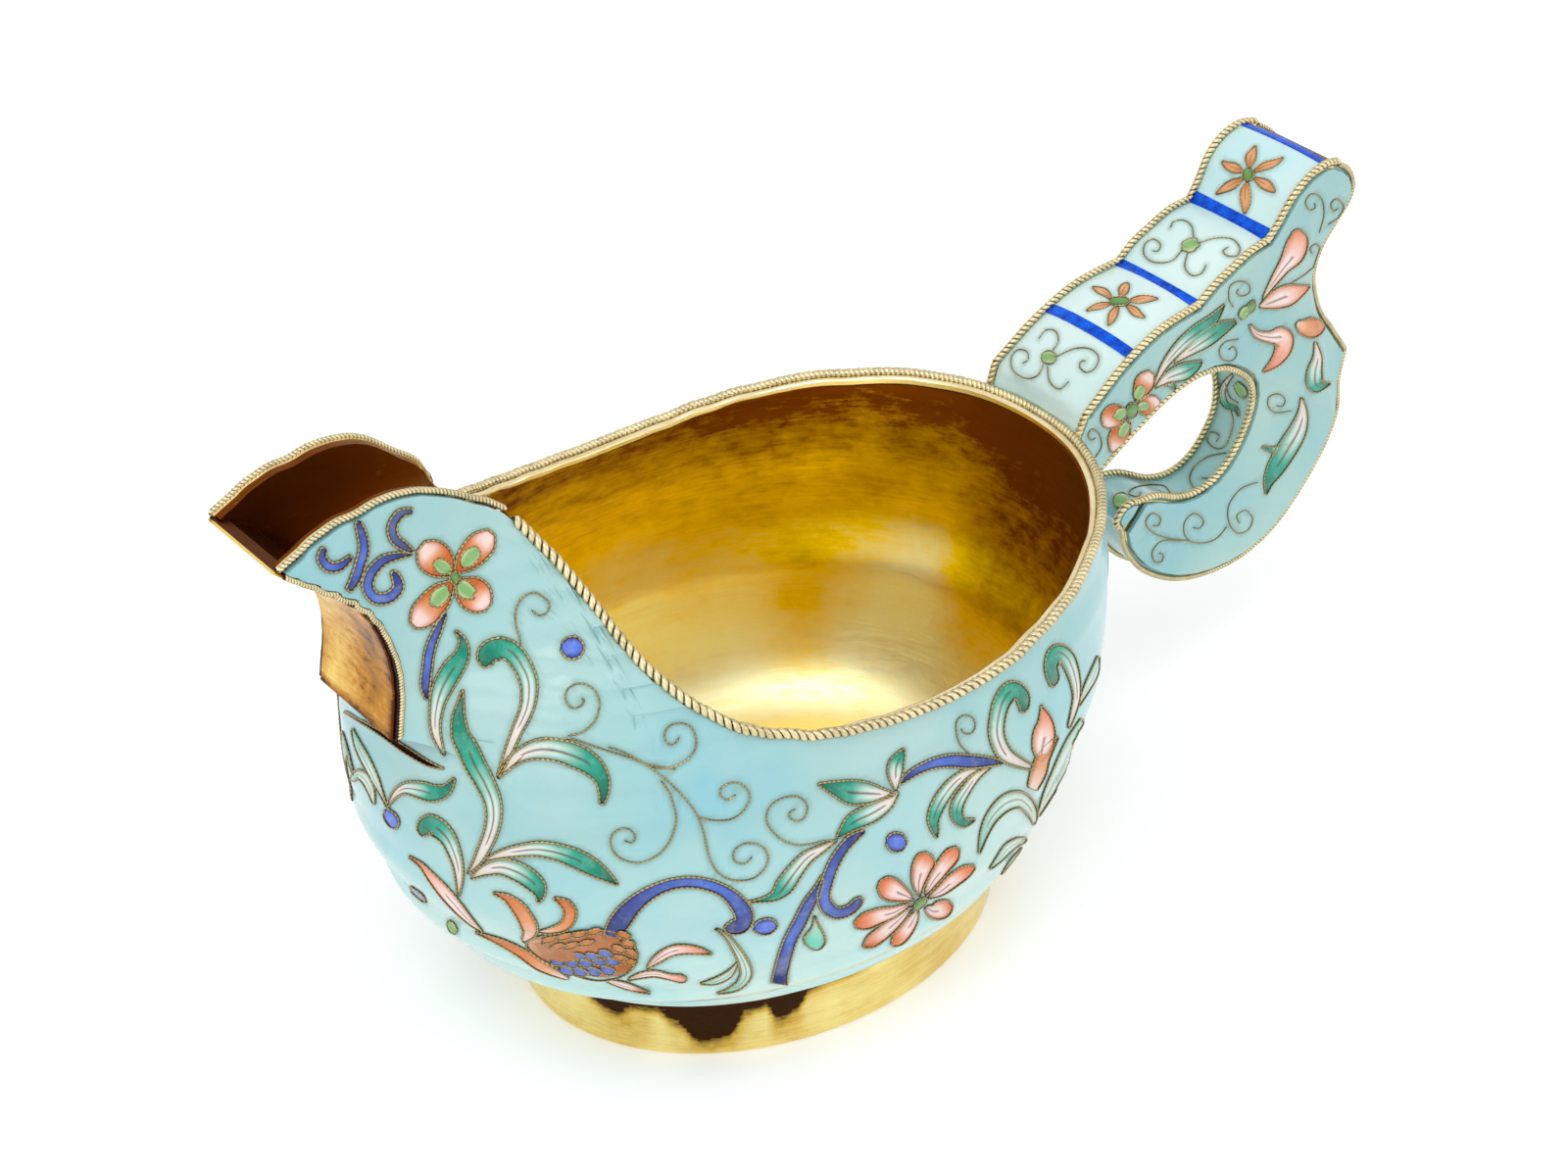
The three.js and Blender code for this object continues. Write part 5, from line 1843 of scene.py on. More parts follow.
@dataclass
class Ornament:
    """Cells and wires drawn onto one enamelled surface.

    Attributes:
        surface: The enamel's faces.
        view: What the drawing's numbers are seen through.
        unit: Size of one of the drawing's units on the enamel, in millimetres.
        dome: Height of a cell's middle over its edges.
        least: Least half width of a cell, in millimetres.
        sink: Depth of a cell's edges under the field.
        full: Width of a cell that has the whole dome.
        halves: Spans from a cell's middle to its edge.
        cell_steps: Spans between two points of a cell's drawing.
        curl_steps: Spans between two points of a plain wire's drawing.
        cells: The enamel cells in the making.
        wires: The wires in the making.
        trail: Points along all wires.
    """

    surface: BVHTree
    view: Union[PhotoCamera, FlatView]
    unit: float
    dome: float = 0.14
    least: float = 0.03
    sink: float = 0.03
    full: float = 1.6
    halves: int = 5
    cell_steps: int = 5
    curl_steps: int = 6
    cells: Sheet = field(default_factory=Sheet)
    wires: Sheet = field(default_factory=Sheet)
    trail: list[Vector] = field(default_factory=list)

    def cast(self, x: float, y: float) -> Optional[tuple[Vector, Vector]]:
        """Point and normal of the enamel under a place in the drawing.

        Args:
            x: First number of the drawing.
            y: Second number of the drawing.

        Returns:
            Both, or nothing where the drawing runs off the enamel.
        """
        start, way = self.view.ray(x, y)
        place, normal, _, _ = self.surface.ray_cast(start, way)
        if place is None or normal.dot(way) > 0:
            return None
        return place, normal

    def cell(self, cell: Cell, wire: BeadedWire, lift: float = 0.0) -> None:
        """Draws one cell with its wire.

        Args:
            cell: What to draw.
            wire: The wire round it.
            lift: How much higher than the field it lies.
        """
        rows = self.rows(cell)
        if len(rows) < 3:
            return
        widest = max((row[0][0] - row[-1][0]).length for _, row in rows)
        height = self.dome * clamp(widest / self.full, 0.5, 1.3)
        last = len(rows) - 1
        spans = 2 * self.halves

        def surface(u: float, v: float) -> Vector:
            """Point of the domed cell.

            Args:
                u: Share of the way along it.
                v: Share of the way across it.

            Returns:
                The point.
            """
            row = rows[round(u * last)][1]
            place, normal = row[round(v * spans)]
            width = (row[0][0] - row[-1][0]).length
            round_over = math.sqrt(max(0.0, 1 - (2 * v - 1) ** 4))
            swell = height * clamp(width / widest * 1.4) * round_over
            return place + normal * (swell + lift - self.sink)

        self.cells.grid(last, spans, surface,
                        colour=lambda u, v: cell.paint.value.at(rows[round(u * last)][0], 2 * v - 1))
        edges = [[(place + normal * lift, normal) for place, normal in (row[0], row[-1])] for _, row in rows]
        outline = [left for left, _ in edges] + [right for _, right in reversed(edges)] + [edges[0][0]]
        self.trail += wire.set(self.wires, outline)

    def rows(self, cell: Cell) -> list[tuple[float, list[tuple[Vector, Vector]]]]:
        """Casts a cell onto the enamel in rows across it.

        Args:
            cell: What to cast.

        Returns:
            For each row its share of the way along the cell, and its points with their normals.
        """
        line = spline(cell.line, self.cell_steps)
        rows = []
        for i, ((x, y, half), (here, there)) in enumerate(zip(line, neighbours(line))):
            dx, dy = there[0] - here[0], there[1] - here[1]
            size = math.hypot(dx, dy) or 1.0
            row = []
            for k in range(-self.halves, self.halves + 1):
                off = max(half, self.least / self.unit) * k / self.halves
                row.append(self.cast(x - dy / size * off, y + dx / size * off))
            found = [k for k, spot in enumerate(row) if spot]
            if found:
                row = [row[min(found, key=lambda k: abs(k - j))] for j in range(len(row))]
                rows.append((i / (len(line) - 1), row))
        return rows

    def curl(self, trace: Trace, wire: BeadedWire) -> None:
        """Draws a line of wire.

        Args:
            trace: Points of the drawing.
            wire: The wire.
        """
        path = [spot for spot in (self.cast(x, y) for x, y in spline(trace, self.curl_steps)) if spot]
        if len(path) > 3:
            self.trail += wire.set(self.wires, path)

    def draw(self, cells: Sequence[Cell], curls: Sequence[Trace],
             wire: BeadedWire, thin: BeadedWire) -> None:
        """Draws a whole table of ornament and closes its meshes.

        Args:
            cells: Its cells.
            curls: Its plain wires.
            wire: Wire of the cells.
            thin: Wire of the curls and of the cells that lie on others.
        """
        for cell in cells:
            lift = LIFTS.get(cell.paint, 0.0)
            self.cell(cell, thin if lift else wire, lift)
        for trace in curls:
            self.curl(trace, thin)
        self.cells.close()
        self.wires.close()

    def across(self, carry: Callable[[Vector], Vector]) -> "Ornament":
        """Copy of the drawing carried over to the other side.

        Args:
            carry: Where each point of this side comes to lie.

        Returns:
            The copy.
        """
        return replace(self, cells=self.cells.across(carry), wires=self.wires.across(carry),
                       trail=[carry(place) for place in self.trail])

    def pieces(self, name: str, cells: Finish, wires: Finish, ending: str = "") -> None:
        """Makes the drawing's two pieces.

        Args:
            name: Start of their names.
            cells: What the cells are made of.
            wires: What the wires are made of.
            ending: End of their names.
        """
        self.cells.piece(f"{name}_cells{ending}", cells)
        self.wires.piece(f"{name}_wires{ending}", wires, crease=WIRE_CREASE)


def soil(sheet: Sheet, trail: Sequence[Vector], reach: float = 0.75, fall: float = 1.3) -> None:
    """Paints the enamel darker along the wires.

    Args:
        sheet: The enamel.
        trail: Points along the wires.
        reach: How far the darkening goes.
        fall: Power with which it falls off.
    """
    tree = KDTree(len(trail))
    for i, place in enumerate(trail):
        tree.insert(place, i)
    tree.balance()
    for vert in sheet.mesh.verts:
        _, _, away = tree.find(vert.co)
        if away is not None:
            vert[sheet.shade] = max(vert[sheet.shade], clamp(1 - away / reach) ** fall)


@dataclass
class Foot:
    """Oval band that the vessel stands on, with an inward flange under the bowl."""

    walls: Walls
    finish: Gilt
    wall: float = 0.9
    flange: float = 2.6
    flange_thickness: float = 0.8
    round_edge: float = 0.25
    rows: int = 14
    spans: int = 300
    quick_spans: int = 120
    # Painted shade of the band: its inside, the shadow and reflection of the overhanging bowl, and bands of
    # painted reflection
    inside_shade: float = 0.9
    stain_tone: float = 1.1
    stain_rise: float = 2.3
    reflection_rise: float = 3
    stain_angles: tuple[float, ...] = (
        180, 188, 194, 198, 204, 209, 214, 219, 225, 231, 236, 240, 243, 247, 250, 259, 270, 300)
    stain_heights: tuple[float, ...] = (
        7.4, 6.4, 5.6, 4.4, 3.6, 5.0, 5.2, 3.4, 1.8, 1.8, 4.4, 5.0, 3.4, 3.8, 5.6, 6.0, 6.8, 7.6)
    reflection_angles: tuple[float, ...] = (190, 196, 206, 211, 216, 221, 225, 228, 232, 236, 240, 243, 247, 251)
    reflection_tones: tuple[float, ...] = (-0.1, 0, 0.22, 0.24, 0, 0.1, 0.62, 0.7, 0.5, 0.1, 0, 0.4, 0.34, 0)

    def build(self) -> None:
        """Builds the band and paints shade and reflections on it under the bowl."""
        height, edge = self.walls.foot_height, self.round_edge
        ledge = height - self.flange_thickness
        face = [(0.0, lerp(edge, height - edge, i / self.rows)) for i in range(self.rows + 1)]
        inside = [(edge, height), (self.wall + self.flange, height), (self.wall + self.flange, ledge),
                  (self.wall, ledge), (self.wall, edge), (self.wall - edge, 0), (edge, 0)]
        profile = [*face, *inside, face[0]]
        last = len(profile) - 1
        under_bowl_shade_foot = Curve(self.stain_angles, self.stain_heights)
        reflections = Curve(self.reflection_angles, self.reflection_tones)

        def surface(u: float, v: float) -> Vector:
            """Point of the band.

            Args:
                u: Share of the way round.
                v: Share of the way along its profile.

            Returns:
                The point.
            """
            inset, z = profile[round(v * last)]
            turn = 2 * math.pi * u
            long, wide = self.walls.foot_length / 2 - inset, self.walls.foot_width / 2 - inset
            return Vector((math.cos(turn) * long, math.sin(turn) * wide, z))

        def stain(u: float, v: float) -> float:
            """Painted shade: the shadow and reflection of the overhanging bowl, strongest under the middle of
            its side.

            Args:
                u: Share of the way round.
                v: Share of the way along its profile.

            Returns:
                The shade.
            """
            inset, z = profile[round(v * last)]
            # The inside of the band is in painted shade
            if inset > self.wall / 2:
                return self.inside_shade
            angle = 180 + abs(360 * u - 180)
            # Bands of painted reflection, then the painted shadow and reflection of the bowl above a height
            # that varies round the band
            band = reflections.at(angle) * rising(z, 0, self.reflection_rise)
            return band + rising(z, under_bowl_shade_foot.at(angle), self.stain_rise) * self.stain_tone

        sheet = Sheet()
        sheet.grid(self.spans, last, surface, shade=stain)
        sheet.close()
        sheet.piece("foot_band", self.finish, "foot_ring")


@dataclass
class Body:
    """Bowl and prow: the silver walls, their enamel, the ornament and the front plate."""

    walls: Walls
    silver: Gilt
    # Dark gilt that stands in for the shade deep in the prow's channel and in the gaps
    throat_shade: Gilt
    plate_finish: Gilt
    enamel: Ground
    cells: Shaded
    wire_finish: Wire
    camera: PhotoCamera
    # Walls
    enamel_thickness: float = 0.6
    foot_gap: float = 0.05
    ledge_gap: float = 0.01
    cheek_proud: float = 0.03
    wall_depth: float = 0.75
    cheek_wall_depth: float = 0.62
    silver_thickness: float = 0.9
    seen_thickness: float = 0.55
    # Fineness, spacing being the distance between columns
    spacing: float = 0.5
    rows: int = 96
    cheek_rows: int = 54
    inner_rows: int = 8
    silver_spacing: float = 0.8
    silver_rows: int = 40
    silver_inner_rows: int = 60
    cheek_silver_rows: int = 30
    high_rows: int = 16
    low_rows: int = 30
    floor_rows: int = 24
    plate_rows: int = 60
    plate_columns: int = 20
    # Enamel's top below the rim, and the round inside of the bowl
    tuck: float = 0.35
    floor_round: float = 14.0
    floor_flat: float = 0.15
    floor_gather: float = 1.5
    bend_powers: Pair = (1.6, 7)
    bend_probe: float = 1.5
    seat_share: float = 0.93
    inner_draw: float = 0.17
    draw_top: float = 36
    silver_clearance: float = 0.6
    cheek_silver_clearance: float = 0.05
    # Painted shade of the cheeks' silver, from its light end to its dark end toward the prow
    cheek_shades: Pair = (0.5, 0.95)
    # Front plate, the painted shade and highlight on it, and the dark strips of painted shadow in the gaps
    # beside it
    plate_thickness: float = 0.9
    plate_inset: float = 0.55
    plate_lip: float = 0.35
    plate_round: float = 0.15
    lip_edge: float = 0.04
    plate_stain: float = 0.5
    stain_width: float = 1.6
    near_stain: float = 0.8
    far_stain: float = 0.4
    foot_shade_height: float = 1.2
    blot: tuple[Pair, Pair] = ((-3, 3), (58, 8))
    lip_highlight: float = -0.2
    lip_back_shade: float = 2.2
    front_gap: float = 0.1
    gap_depth: float = 0.3
    gap_end: float = 2.0
    # Where the cheeks' enamel meets the bowl's
    overlap: float = 0.03
    sink: float = 0.4
    sink_rise: float = 1.0
    # Painted shade and reflection of the gilding inside by height, and the wires
    tone_heights: tuple[float, ...] = (9, 16, 22, 28, 36, 41, 45, 50)
    tone_levels: tuple[float, ...] = (0, 0, 0.12, 0.3, 0.46, 0.62, 0.8, 0.96)
    # Cells of the slit under the ledge, all painted dark as its shadow
    slit: tuple[Cell, ...] = (
        Cell(Paint.DUSK, ((352, 726, 0.8), (386, 746, 2), (413, 764, 3.2), (436, 778, 2.6),
                          (453, 784, 0.5))),)
    wire: BeadedWire = BeadedWire(0.28)
    thin: BeadedWire = BeadedWire(0.2, 0.44)
    form: Sheet = field(default_factory=Sheet)

    def build(self) -> None:
        """Builds every piece of the bowl and the prow."""
        walls = self.walls
        self.cheek_start = walls.turn(walls.first_cheek)
        self.join = walls.turn(walls.cheek_end)
        bowl = self.bowl_enamel()
        cheeks = {side: self.cheek(side, self.cheek_skin(), self.cheek_start) for side in Side}
        self.turn_outwards()
        trail = self.ornament(BVHTree.FromBMesh(self.form.mesh))
        for sheet in (bowl, *cheeks.values()):
            soil(sheet, trail)
        bowl.piece("bowl_enamel_skin", self.enamel, "bowl_enamel")
        for side, sheet in cheeks.items():
            sheet.piece(f"cheek_enamel_{side.label}", self.enamel, f"prow_enamel_{side.label}")
        self.bowl_silver()
        for side in Side:
            self.cheek_silver(side)
        self.plate()
        self.form.mesh.free()
        # The channel's floor takes the dark gilt, as painted shade
        self.throat_shade.coat("prow_floor")

    def turn_outwards(self) -> None:
        """Turns the casting form's faces away from the vessel's axis, so that no ray lands inside."""
        inward = []
        for face in self.form.mesh.faces:
            middle = face.calc_center_median()
            if face.normal.dot(Vector((middle.x, middle.y * 2, 0))) < 0:
                inward.append(face)
        bmesh.ops.reverse_faces(self.form.mesh, faces=inward)

    def cheek_skin(self) -> Skin:
        """Wall of a cheek's enamel, skirted over the ledge and a hair proud of the bowl's.

        Returns:
            The wall.
        """
        walls = replace(self.walls, skirted=True)
        return Skin(walls, -self.cheek_proud, self.enamel_thickness, self.tuck, self.cheek_rows,
                    self.inner_rows, below=0)

    def ring(self, make: Callable[[float, Side], list[Vector]], spacing: float) -> list[list[Vector]]:
        """Loops all round the bowl, front to back on the near side and back again on the far side.

        Args:
            make: Loop of one column.
            spacing: Distance wanted between columns.

        Returns:
            The loops, the last being the first again.
        """
        turns = columns(self.walls, 0.0, math.pi, spacing)
        near = [make(turn, Side.NEAR) for turn in turns]
        far = [make(turn, Side.FAR) for turn in reversed(turns)]
        return [*near, *far[1:-1], near[0]]

    def bowl_top(self, turn: float, side: Side, clearance: float) -> float:
        """Height of the bowl's top edge at a column."""
        return self.walls.ledge if turn < self.join else self.walls.edge(turn, side, clearance)

    def covered_from(self, turn: float) -> float:
        """Height from which a cheek's skirt covers the bowl's enamel.

        Args:
            turn: Where the column stands.

        Returns:
            The height, or one over the whole vessel where no skirt is.
        """
        walls = self.walls
        slit, end = walls.turn(walls.slit_end), walls.turn(walls.skirt_end)
        if not slit < turn < self.join:
            return walls.prow_top
        return walls.ledge - (walls.skirt_drop - self.sink_rise) * rising(turn, slit, end - slit)

    def bowl_enamel(self) -> Sheet:
        """Enamel of the bowl below the ledge.

        Returns:
            The enamel, closed.
        """
        peak = max(self.walls.edge(self.join, side, self.tuck) for side in Side)
        skin = Skin(self.walls, 0.0, self.enamel_thickness, self.tuck, self.rows, self.inner_rows, peak=peak)
        foot = self.walls.foot_height + self.foot_gap

        def make(turn: float, side: Side) -> list[Vector]:
            """Loop of one column, sunk where a cheek's skirt covers it.

            Args:
                turn: Where the column stands.
                side: Side of the vessel.

            Returns:
                The loop.
            """
            top = self.bowl_top(turn, side, self.tuck)
            loop = skin.column(turn, side, foot, top, top == self.walls.ledge)
            covered = self.covered_from(turn)
            for i, place in enumerate(loop[: skin.outer_rows + 1]):
                normal = self.walls.normal(turn, place.z)
                sunk = self.sink * rising(place.z, covered, self.sink_rise)
                loop[i] = place - Vector((normal.x, normal.y * side.value, normal.z)) * sunk
            return loop

        loops = self.ring(make, self.spacing)
        lay(self.form, [loop[: skin.outer_rows + 1] for loop in loops])
        return closed(loops)

    def cheek(self, side: Side, skin: Skin, start: float) -> Sheet:
        """Wall of one cheek over the ledge, reaching a little past where the bowl's own wall takes over.

        Args:
            side: Side of the vessel.
            skin: The wall.
            start: Turn of its front edge.

        Returns:
            The wall, closed.
        """
        walls = skin.walls
        loops = []
        for turn in columns(walls, start, self.join + self.overlap, self.spacing):
            low = walls.skirt(turn)[0] if walls.skirted else walls.ledge + self.ledge_gap
            loops.append(skin.column(turn, side, low, walls.edge(turn, side, skin.clearance), False))
        if walls.skirted and side is Side.NEAR:
            lay(self.form, [loop[: skin.outer_rows + 1] for loop in loops])
        return closed(loops)

    def ornament(self, surface: BVHTree) -> list[Vector]:
        """Draws the ornament of the sides, the front and the back.

        Args:
            surface: The enamel's outer faces.

        Returns:
            Points along all the wires.
        """
        side, front, gap = (Ornament(surface, self.camera, PIXEL) for _ in range(3))
        back = Ornament(surface, FlatView(BEHIND), 1)
        for drawing, cells, curls in ((side, SIDE_CELLS, SIDE_CURLS), (front, FRONT_CELLS, ()),
                                      (gap, self.slit, ()), (back, BACK_CELLS, BACK_CURLS)):
            drawing.draw(cells, curls, self.wire, self.thin)
        # The slit's cells are painted fully dark, as the shadow under the ledge
        for vert in gap.cells.mesh.verts:
            vert[gap.cells.shade] = DARKEST
        gap.cells.piece("ledge_gap", self.throat_shade)
        gap.wires.piece("ledge_gap_wires", self.wire_finish, crease=WIRE_CREASE)
        far = side.across(mirrored)
        for drawing, name, ending in ((side, "body", "_near"), (far, "body", "_far"), (front, "front", ""),
                                      (back, "back", "")):
            drawing.pieces(name, self.cells, self.wire_finish, ending)
        return [*side.trail, *front.trail, *back.trail, *far.trail]

    def bowl_silver(self) -> None:
        """Silver of the bowl, its flat bottom and its floor."""
        walls = self.walls
        skin = Skin(walls, self.wall_depth, self.wall_depth + self.seen_thickness, self.silver_clearance,
                    self.silver_rows, self.silver_inner_rows)
        floor = walls.foot_height + self.silver_thickness

        def make(turn: float, side: Side) -> list[Vector]:
            """Loop of one column.

            Args:
                turn: Where the column stands.
                side: Side of the vessel.

            Returns:
                The loop: out under the bottom, up the outside, down the inside and in along the floor.
            """
            top = self.bowl_top(turn, side, skin.clearance)
            loop = skin.column(turn, side, walls.foot_height + walls.fit, top, top == walls.ledge)[:-1]
            outer = loop[1: skin.outer_rows + 1]
            wall = [self.drawn_in(place, floor) for place in loop[skin.outer_rows + 1:]]
            corner_height, ledge = floor + self.floor_round, min(walls.ledge, wall[0].z)
            heights = [lerp(wall[0].z, ledge, i / self.high_rows) for i in range(self.high_rows)]
            heights += [lerp(ledge, corner_height, i / self.low_rows) for i in range(self.low_rows + 1)]
            inner = [crossing(wall, height) for height in heights]
            bend = self.bend(inner[-1], crossing(wall, corner_height + self.bend_probe), floor)
            seat = Vector((loop[0].x * self.seat_share, loop[0].y * self.seat_share, walls.foot_height))
            return [Vector((0, 0, walls.foot_height)), seat, *outer, *inner, *bend]

        loops = self.ring(make, self.silver_spacing)
        levels = Curve(self.tone_heights, self.tone_levels)

        def tone(u: float, v: float) -> float:
            """Painted shade and reflection of the gilding inside."""
            loop = loops[round(u * (len(loops) - 1))]
            return self.inner_tone(loop[round(v * (len(loop) - 1))], levels)

        closed(loops, tone).piece("bowl_silver_wall", self.silver, "bowl_shell")

    def bend(self, corner: Vector, above: Vector, floor: float) -> list[Vector]:
        """Rounds the inside over from the wall to the flat floor.

        Args:
            corner: Last point of the wall.
            above: A point of the wall a little higher.
            floor: Height of the floor.

        Returns:
            Points from beside the corner to the middle of the floor.
        """
        slope = (above.z - corner.z) / max(above.xy.length - corner.xy.length, 0.01)
        steep = slope * (1 - self.floor_flat) * corner.xy.length / (corner.z - floor)
        power = clamp(steep, *self.bend_powers)
        points = []
        for i in range(1, self.floor_rows + 1):
            out = 1 - (i / self.floor_rows) ** self.floor_gather
            rise = rising(out, self.floor_flat, 1 - self.floor_flat) ** power
            points.append(Vector((corner.x * out, corner.y * out, lerp(floor, corner.z, rise))))
        return points

    def drawn_in(self, place: Vector, floor: float) -> Vector:
        """Point of the inner wall drawn in toward the floor."""
        drawn = 1 - self.inner_draw * rising(place.z, self.draw_top, floor - self.draw_top) ** 2
        return Vector((place.x * drawn, place.y * drawn, place.z))

    def inner_tone(self, place: Vector, levels: Curve) -> float:
        """Painted shade and reflection of the gilding inside, as a tone from 0 where it is bright to 1 where
        it is dark brown.

        Args:
            place: Point of the inner wall.
            levels: Tone over height.

        Returns:
            The tone: a painted bright reflection low down, golden up the wall, and painted shade and dark
                reflections brown at the rim, the back and toward the prow.
        """
        # Angles are degrees from the handle toward the far side, lengths and heights are millimetres
        angle = math.degrees(math.atan2(place.y, place.x))
        level = levels.at(place.z)
        # Painted reflections and shade: a dark patch and a light streak on the wall, darker behind, much
        # darker toward the prow, a little lighter on the far side
        blob = 0.22 * bump(angle, 41, 8) * rising(place.z, 31, -9) * rising(place.z, 11, 4)
        streak = 0.2 * bump(angle, 19, 8) * rising(place.z, 36, -12)
        behind = 0.26 * rising(abs(angle + 28), 44, -12) * rising(place.z, 14, 10)
        throat_shade = 0.5 * rising(place.x, -32, -12) * rising(place.z, 30, 20)
        left = 0.06 * rising(angle, 62, 20)
        return clamp(level + blob - streak - left + behind + throat_shade)

    def cheek_silver(self, side: Side) -> None:
        """Silver of one cheek, with painted shade darkening it toward the prow.

        Args:
            side: Side of the vessel.
        """
        walls = self.walls
        seat = walls.turn(walls.first_cheek + self.front_gap / walls.front_reach)
        skin = Skin(walls, self.cheek_wall_depth, self.wall_depth + self.silver_thickness,
                    self.cheek_silver_clearance, self.cheek_silver_rows, self.cheek_silver_rows, below=0)
        sheet = self.cheek(side, skin, seat)
        for vert in sheet.mesh.verts:
            # Painted shade, darker toward the prow
            deep = rising(vert.co.x, -24, -14) * rising(abs(vert.co.y), 1, 4)
            vert[sheet.shade] = lerp(*self.cheek_shades, deep)
        sheet.piece(f"cheek_silver_{side.label}", self.silver, f"prow_cheek_{side.label}")

    def plate(self) -> None:
        """Front plate bent to the cheeks' front edges, with painted shade on it and a strip of painted shadow
        in the gap along each.
        """
        walls, rows, face_last = self.walls, self.plate_rows, self.plate_columns
        loops = [self.plate_loop(lerp(walls.ledge, walls.prow_tip, i / rows)) for i in range(rows + 1)]
        for inset in (self.plate_lip, self.plate_lip + self.lip_edge):
            lip = [place + Vector((inset, 0, 0)) if i <= face_last else place
                   for i, place in enumerate(loops[rows])]
            loops.append([*lip[:-1], lip[0]])
        last = len(loops[0]) - 1

        def stain(u: float, v: float) -> float:
            """Painted shade along the plate's edges, at its foot and on the lip's back, a painted highlight
            along its top, and a darker blot.

            Args:
                u: Share of the way up.
                v: Share of the way round.

            Returns:
                The shade.
            """
            row, column = round(u * (rows + 2)), round(v * last)
            # Painted shade on the lip's back and inner edge, and a painted highlight along its top
            if row == rows + 2 or column in (face_last + 2, face_last + 3):
                return self.lip_back_shade
            if row > rows - 2:
                return self.lip_highlight
            place = loops[row][column]
            # Painted shade along the edges beside the cheeks and at the foot by the ledge, and a darker blot
            band = self.stain_width
            beside = clamp((abs(place.y) - walls.channel(place.z) + self.plate_inset + band) / band)
            beside *= self.near_stain if place.y < 0 else self.far_stain
            (y, wide), (z, high) = self.blot
            blot = math.exp(-((place.y - y) / wide) ** 2 - ((place.z - z) / high) ** 2)
            foot = clamp(1 - (place.z - walls.ledge) / self.foot_shade_height)
            return beside ** 2 + self.plate_stain * foot + self.plate_stain * blot

        closed(loops, stain).piece("front_plate", self.plate_finish, "prow_plate")
        for side in Side:
            self.gap(side)

    def plate_loop(self, height: float) -> list[Vector]:
        """Loop round the front plate.

        Args:
            height: Its height.

        Returns:
            The loop: across the face, then round the sides and the back.
        """
        edge, thickness = self.plate_round, self.plate_thickness
        half = self.walls.channel(height) - self.plate_inset
        ahead = self.walls.plate_face(height)
        lean = math.atan(self.walls.plate_slope(height))
        behind = min(ahead + thickness / math.cos(lean), ahead + 2 * thickness)
        face = [(ahead, lerp(-half + edge, half - edge, i / self.plate_columns))
                for i in range(self.plate_columns + 1)]
        back = [(ahead + edge, half), (behind, half), (behind, -half), (ahead + edge, -half)]
        return [Vector((x, y, height)) for x, y in [*face, *back, face[0]]]

    def gap(self, side: Side) -> None:
        """Strip of painted shadow between the front plate and one cheek.

        Args:
            side: Side of the vessel.
        """
        walls, rows = self.walls, self.plate_rows
        corners = ((0, self.plate_inset), (0, 0), (self.gap_depth, 0), (self.gap_depth, self.plate_inset),
                   (0, self.plate_inset))
        strips = []
        for i in range(rows + 1):
            height = lerp(walls.ledge, walls.prow_tip - self.gap_end, i / rows)
            ahead, half = walls.plate_face(height) + self.gap_depth, walls.channel(height)
            strips.append([Vector((ahead + x, (half - y) * side.value, height)) for x, y in corners])
        # Sheet painted fully dark as the shadow in the gap
        closed(strips, lambda u, v: DARKEST).piece(f"front_gap_{side.label}", self.throat_shade)


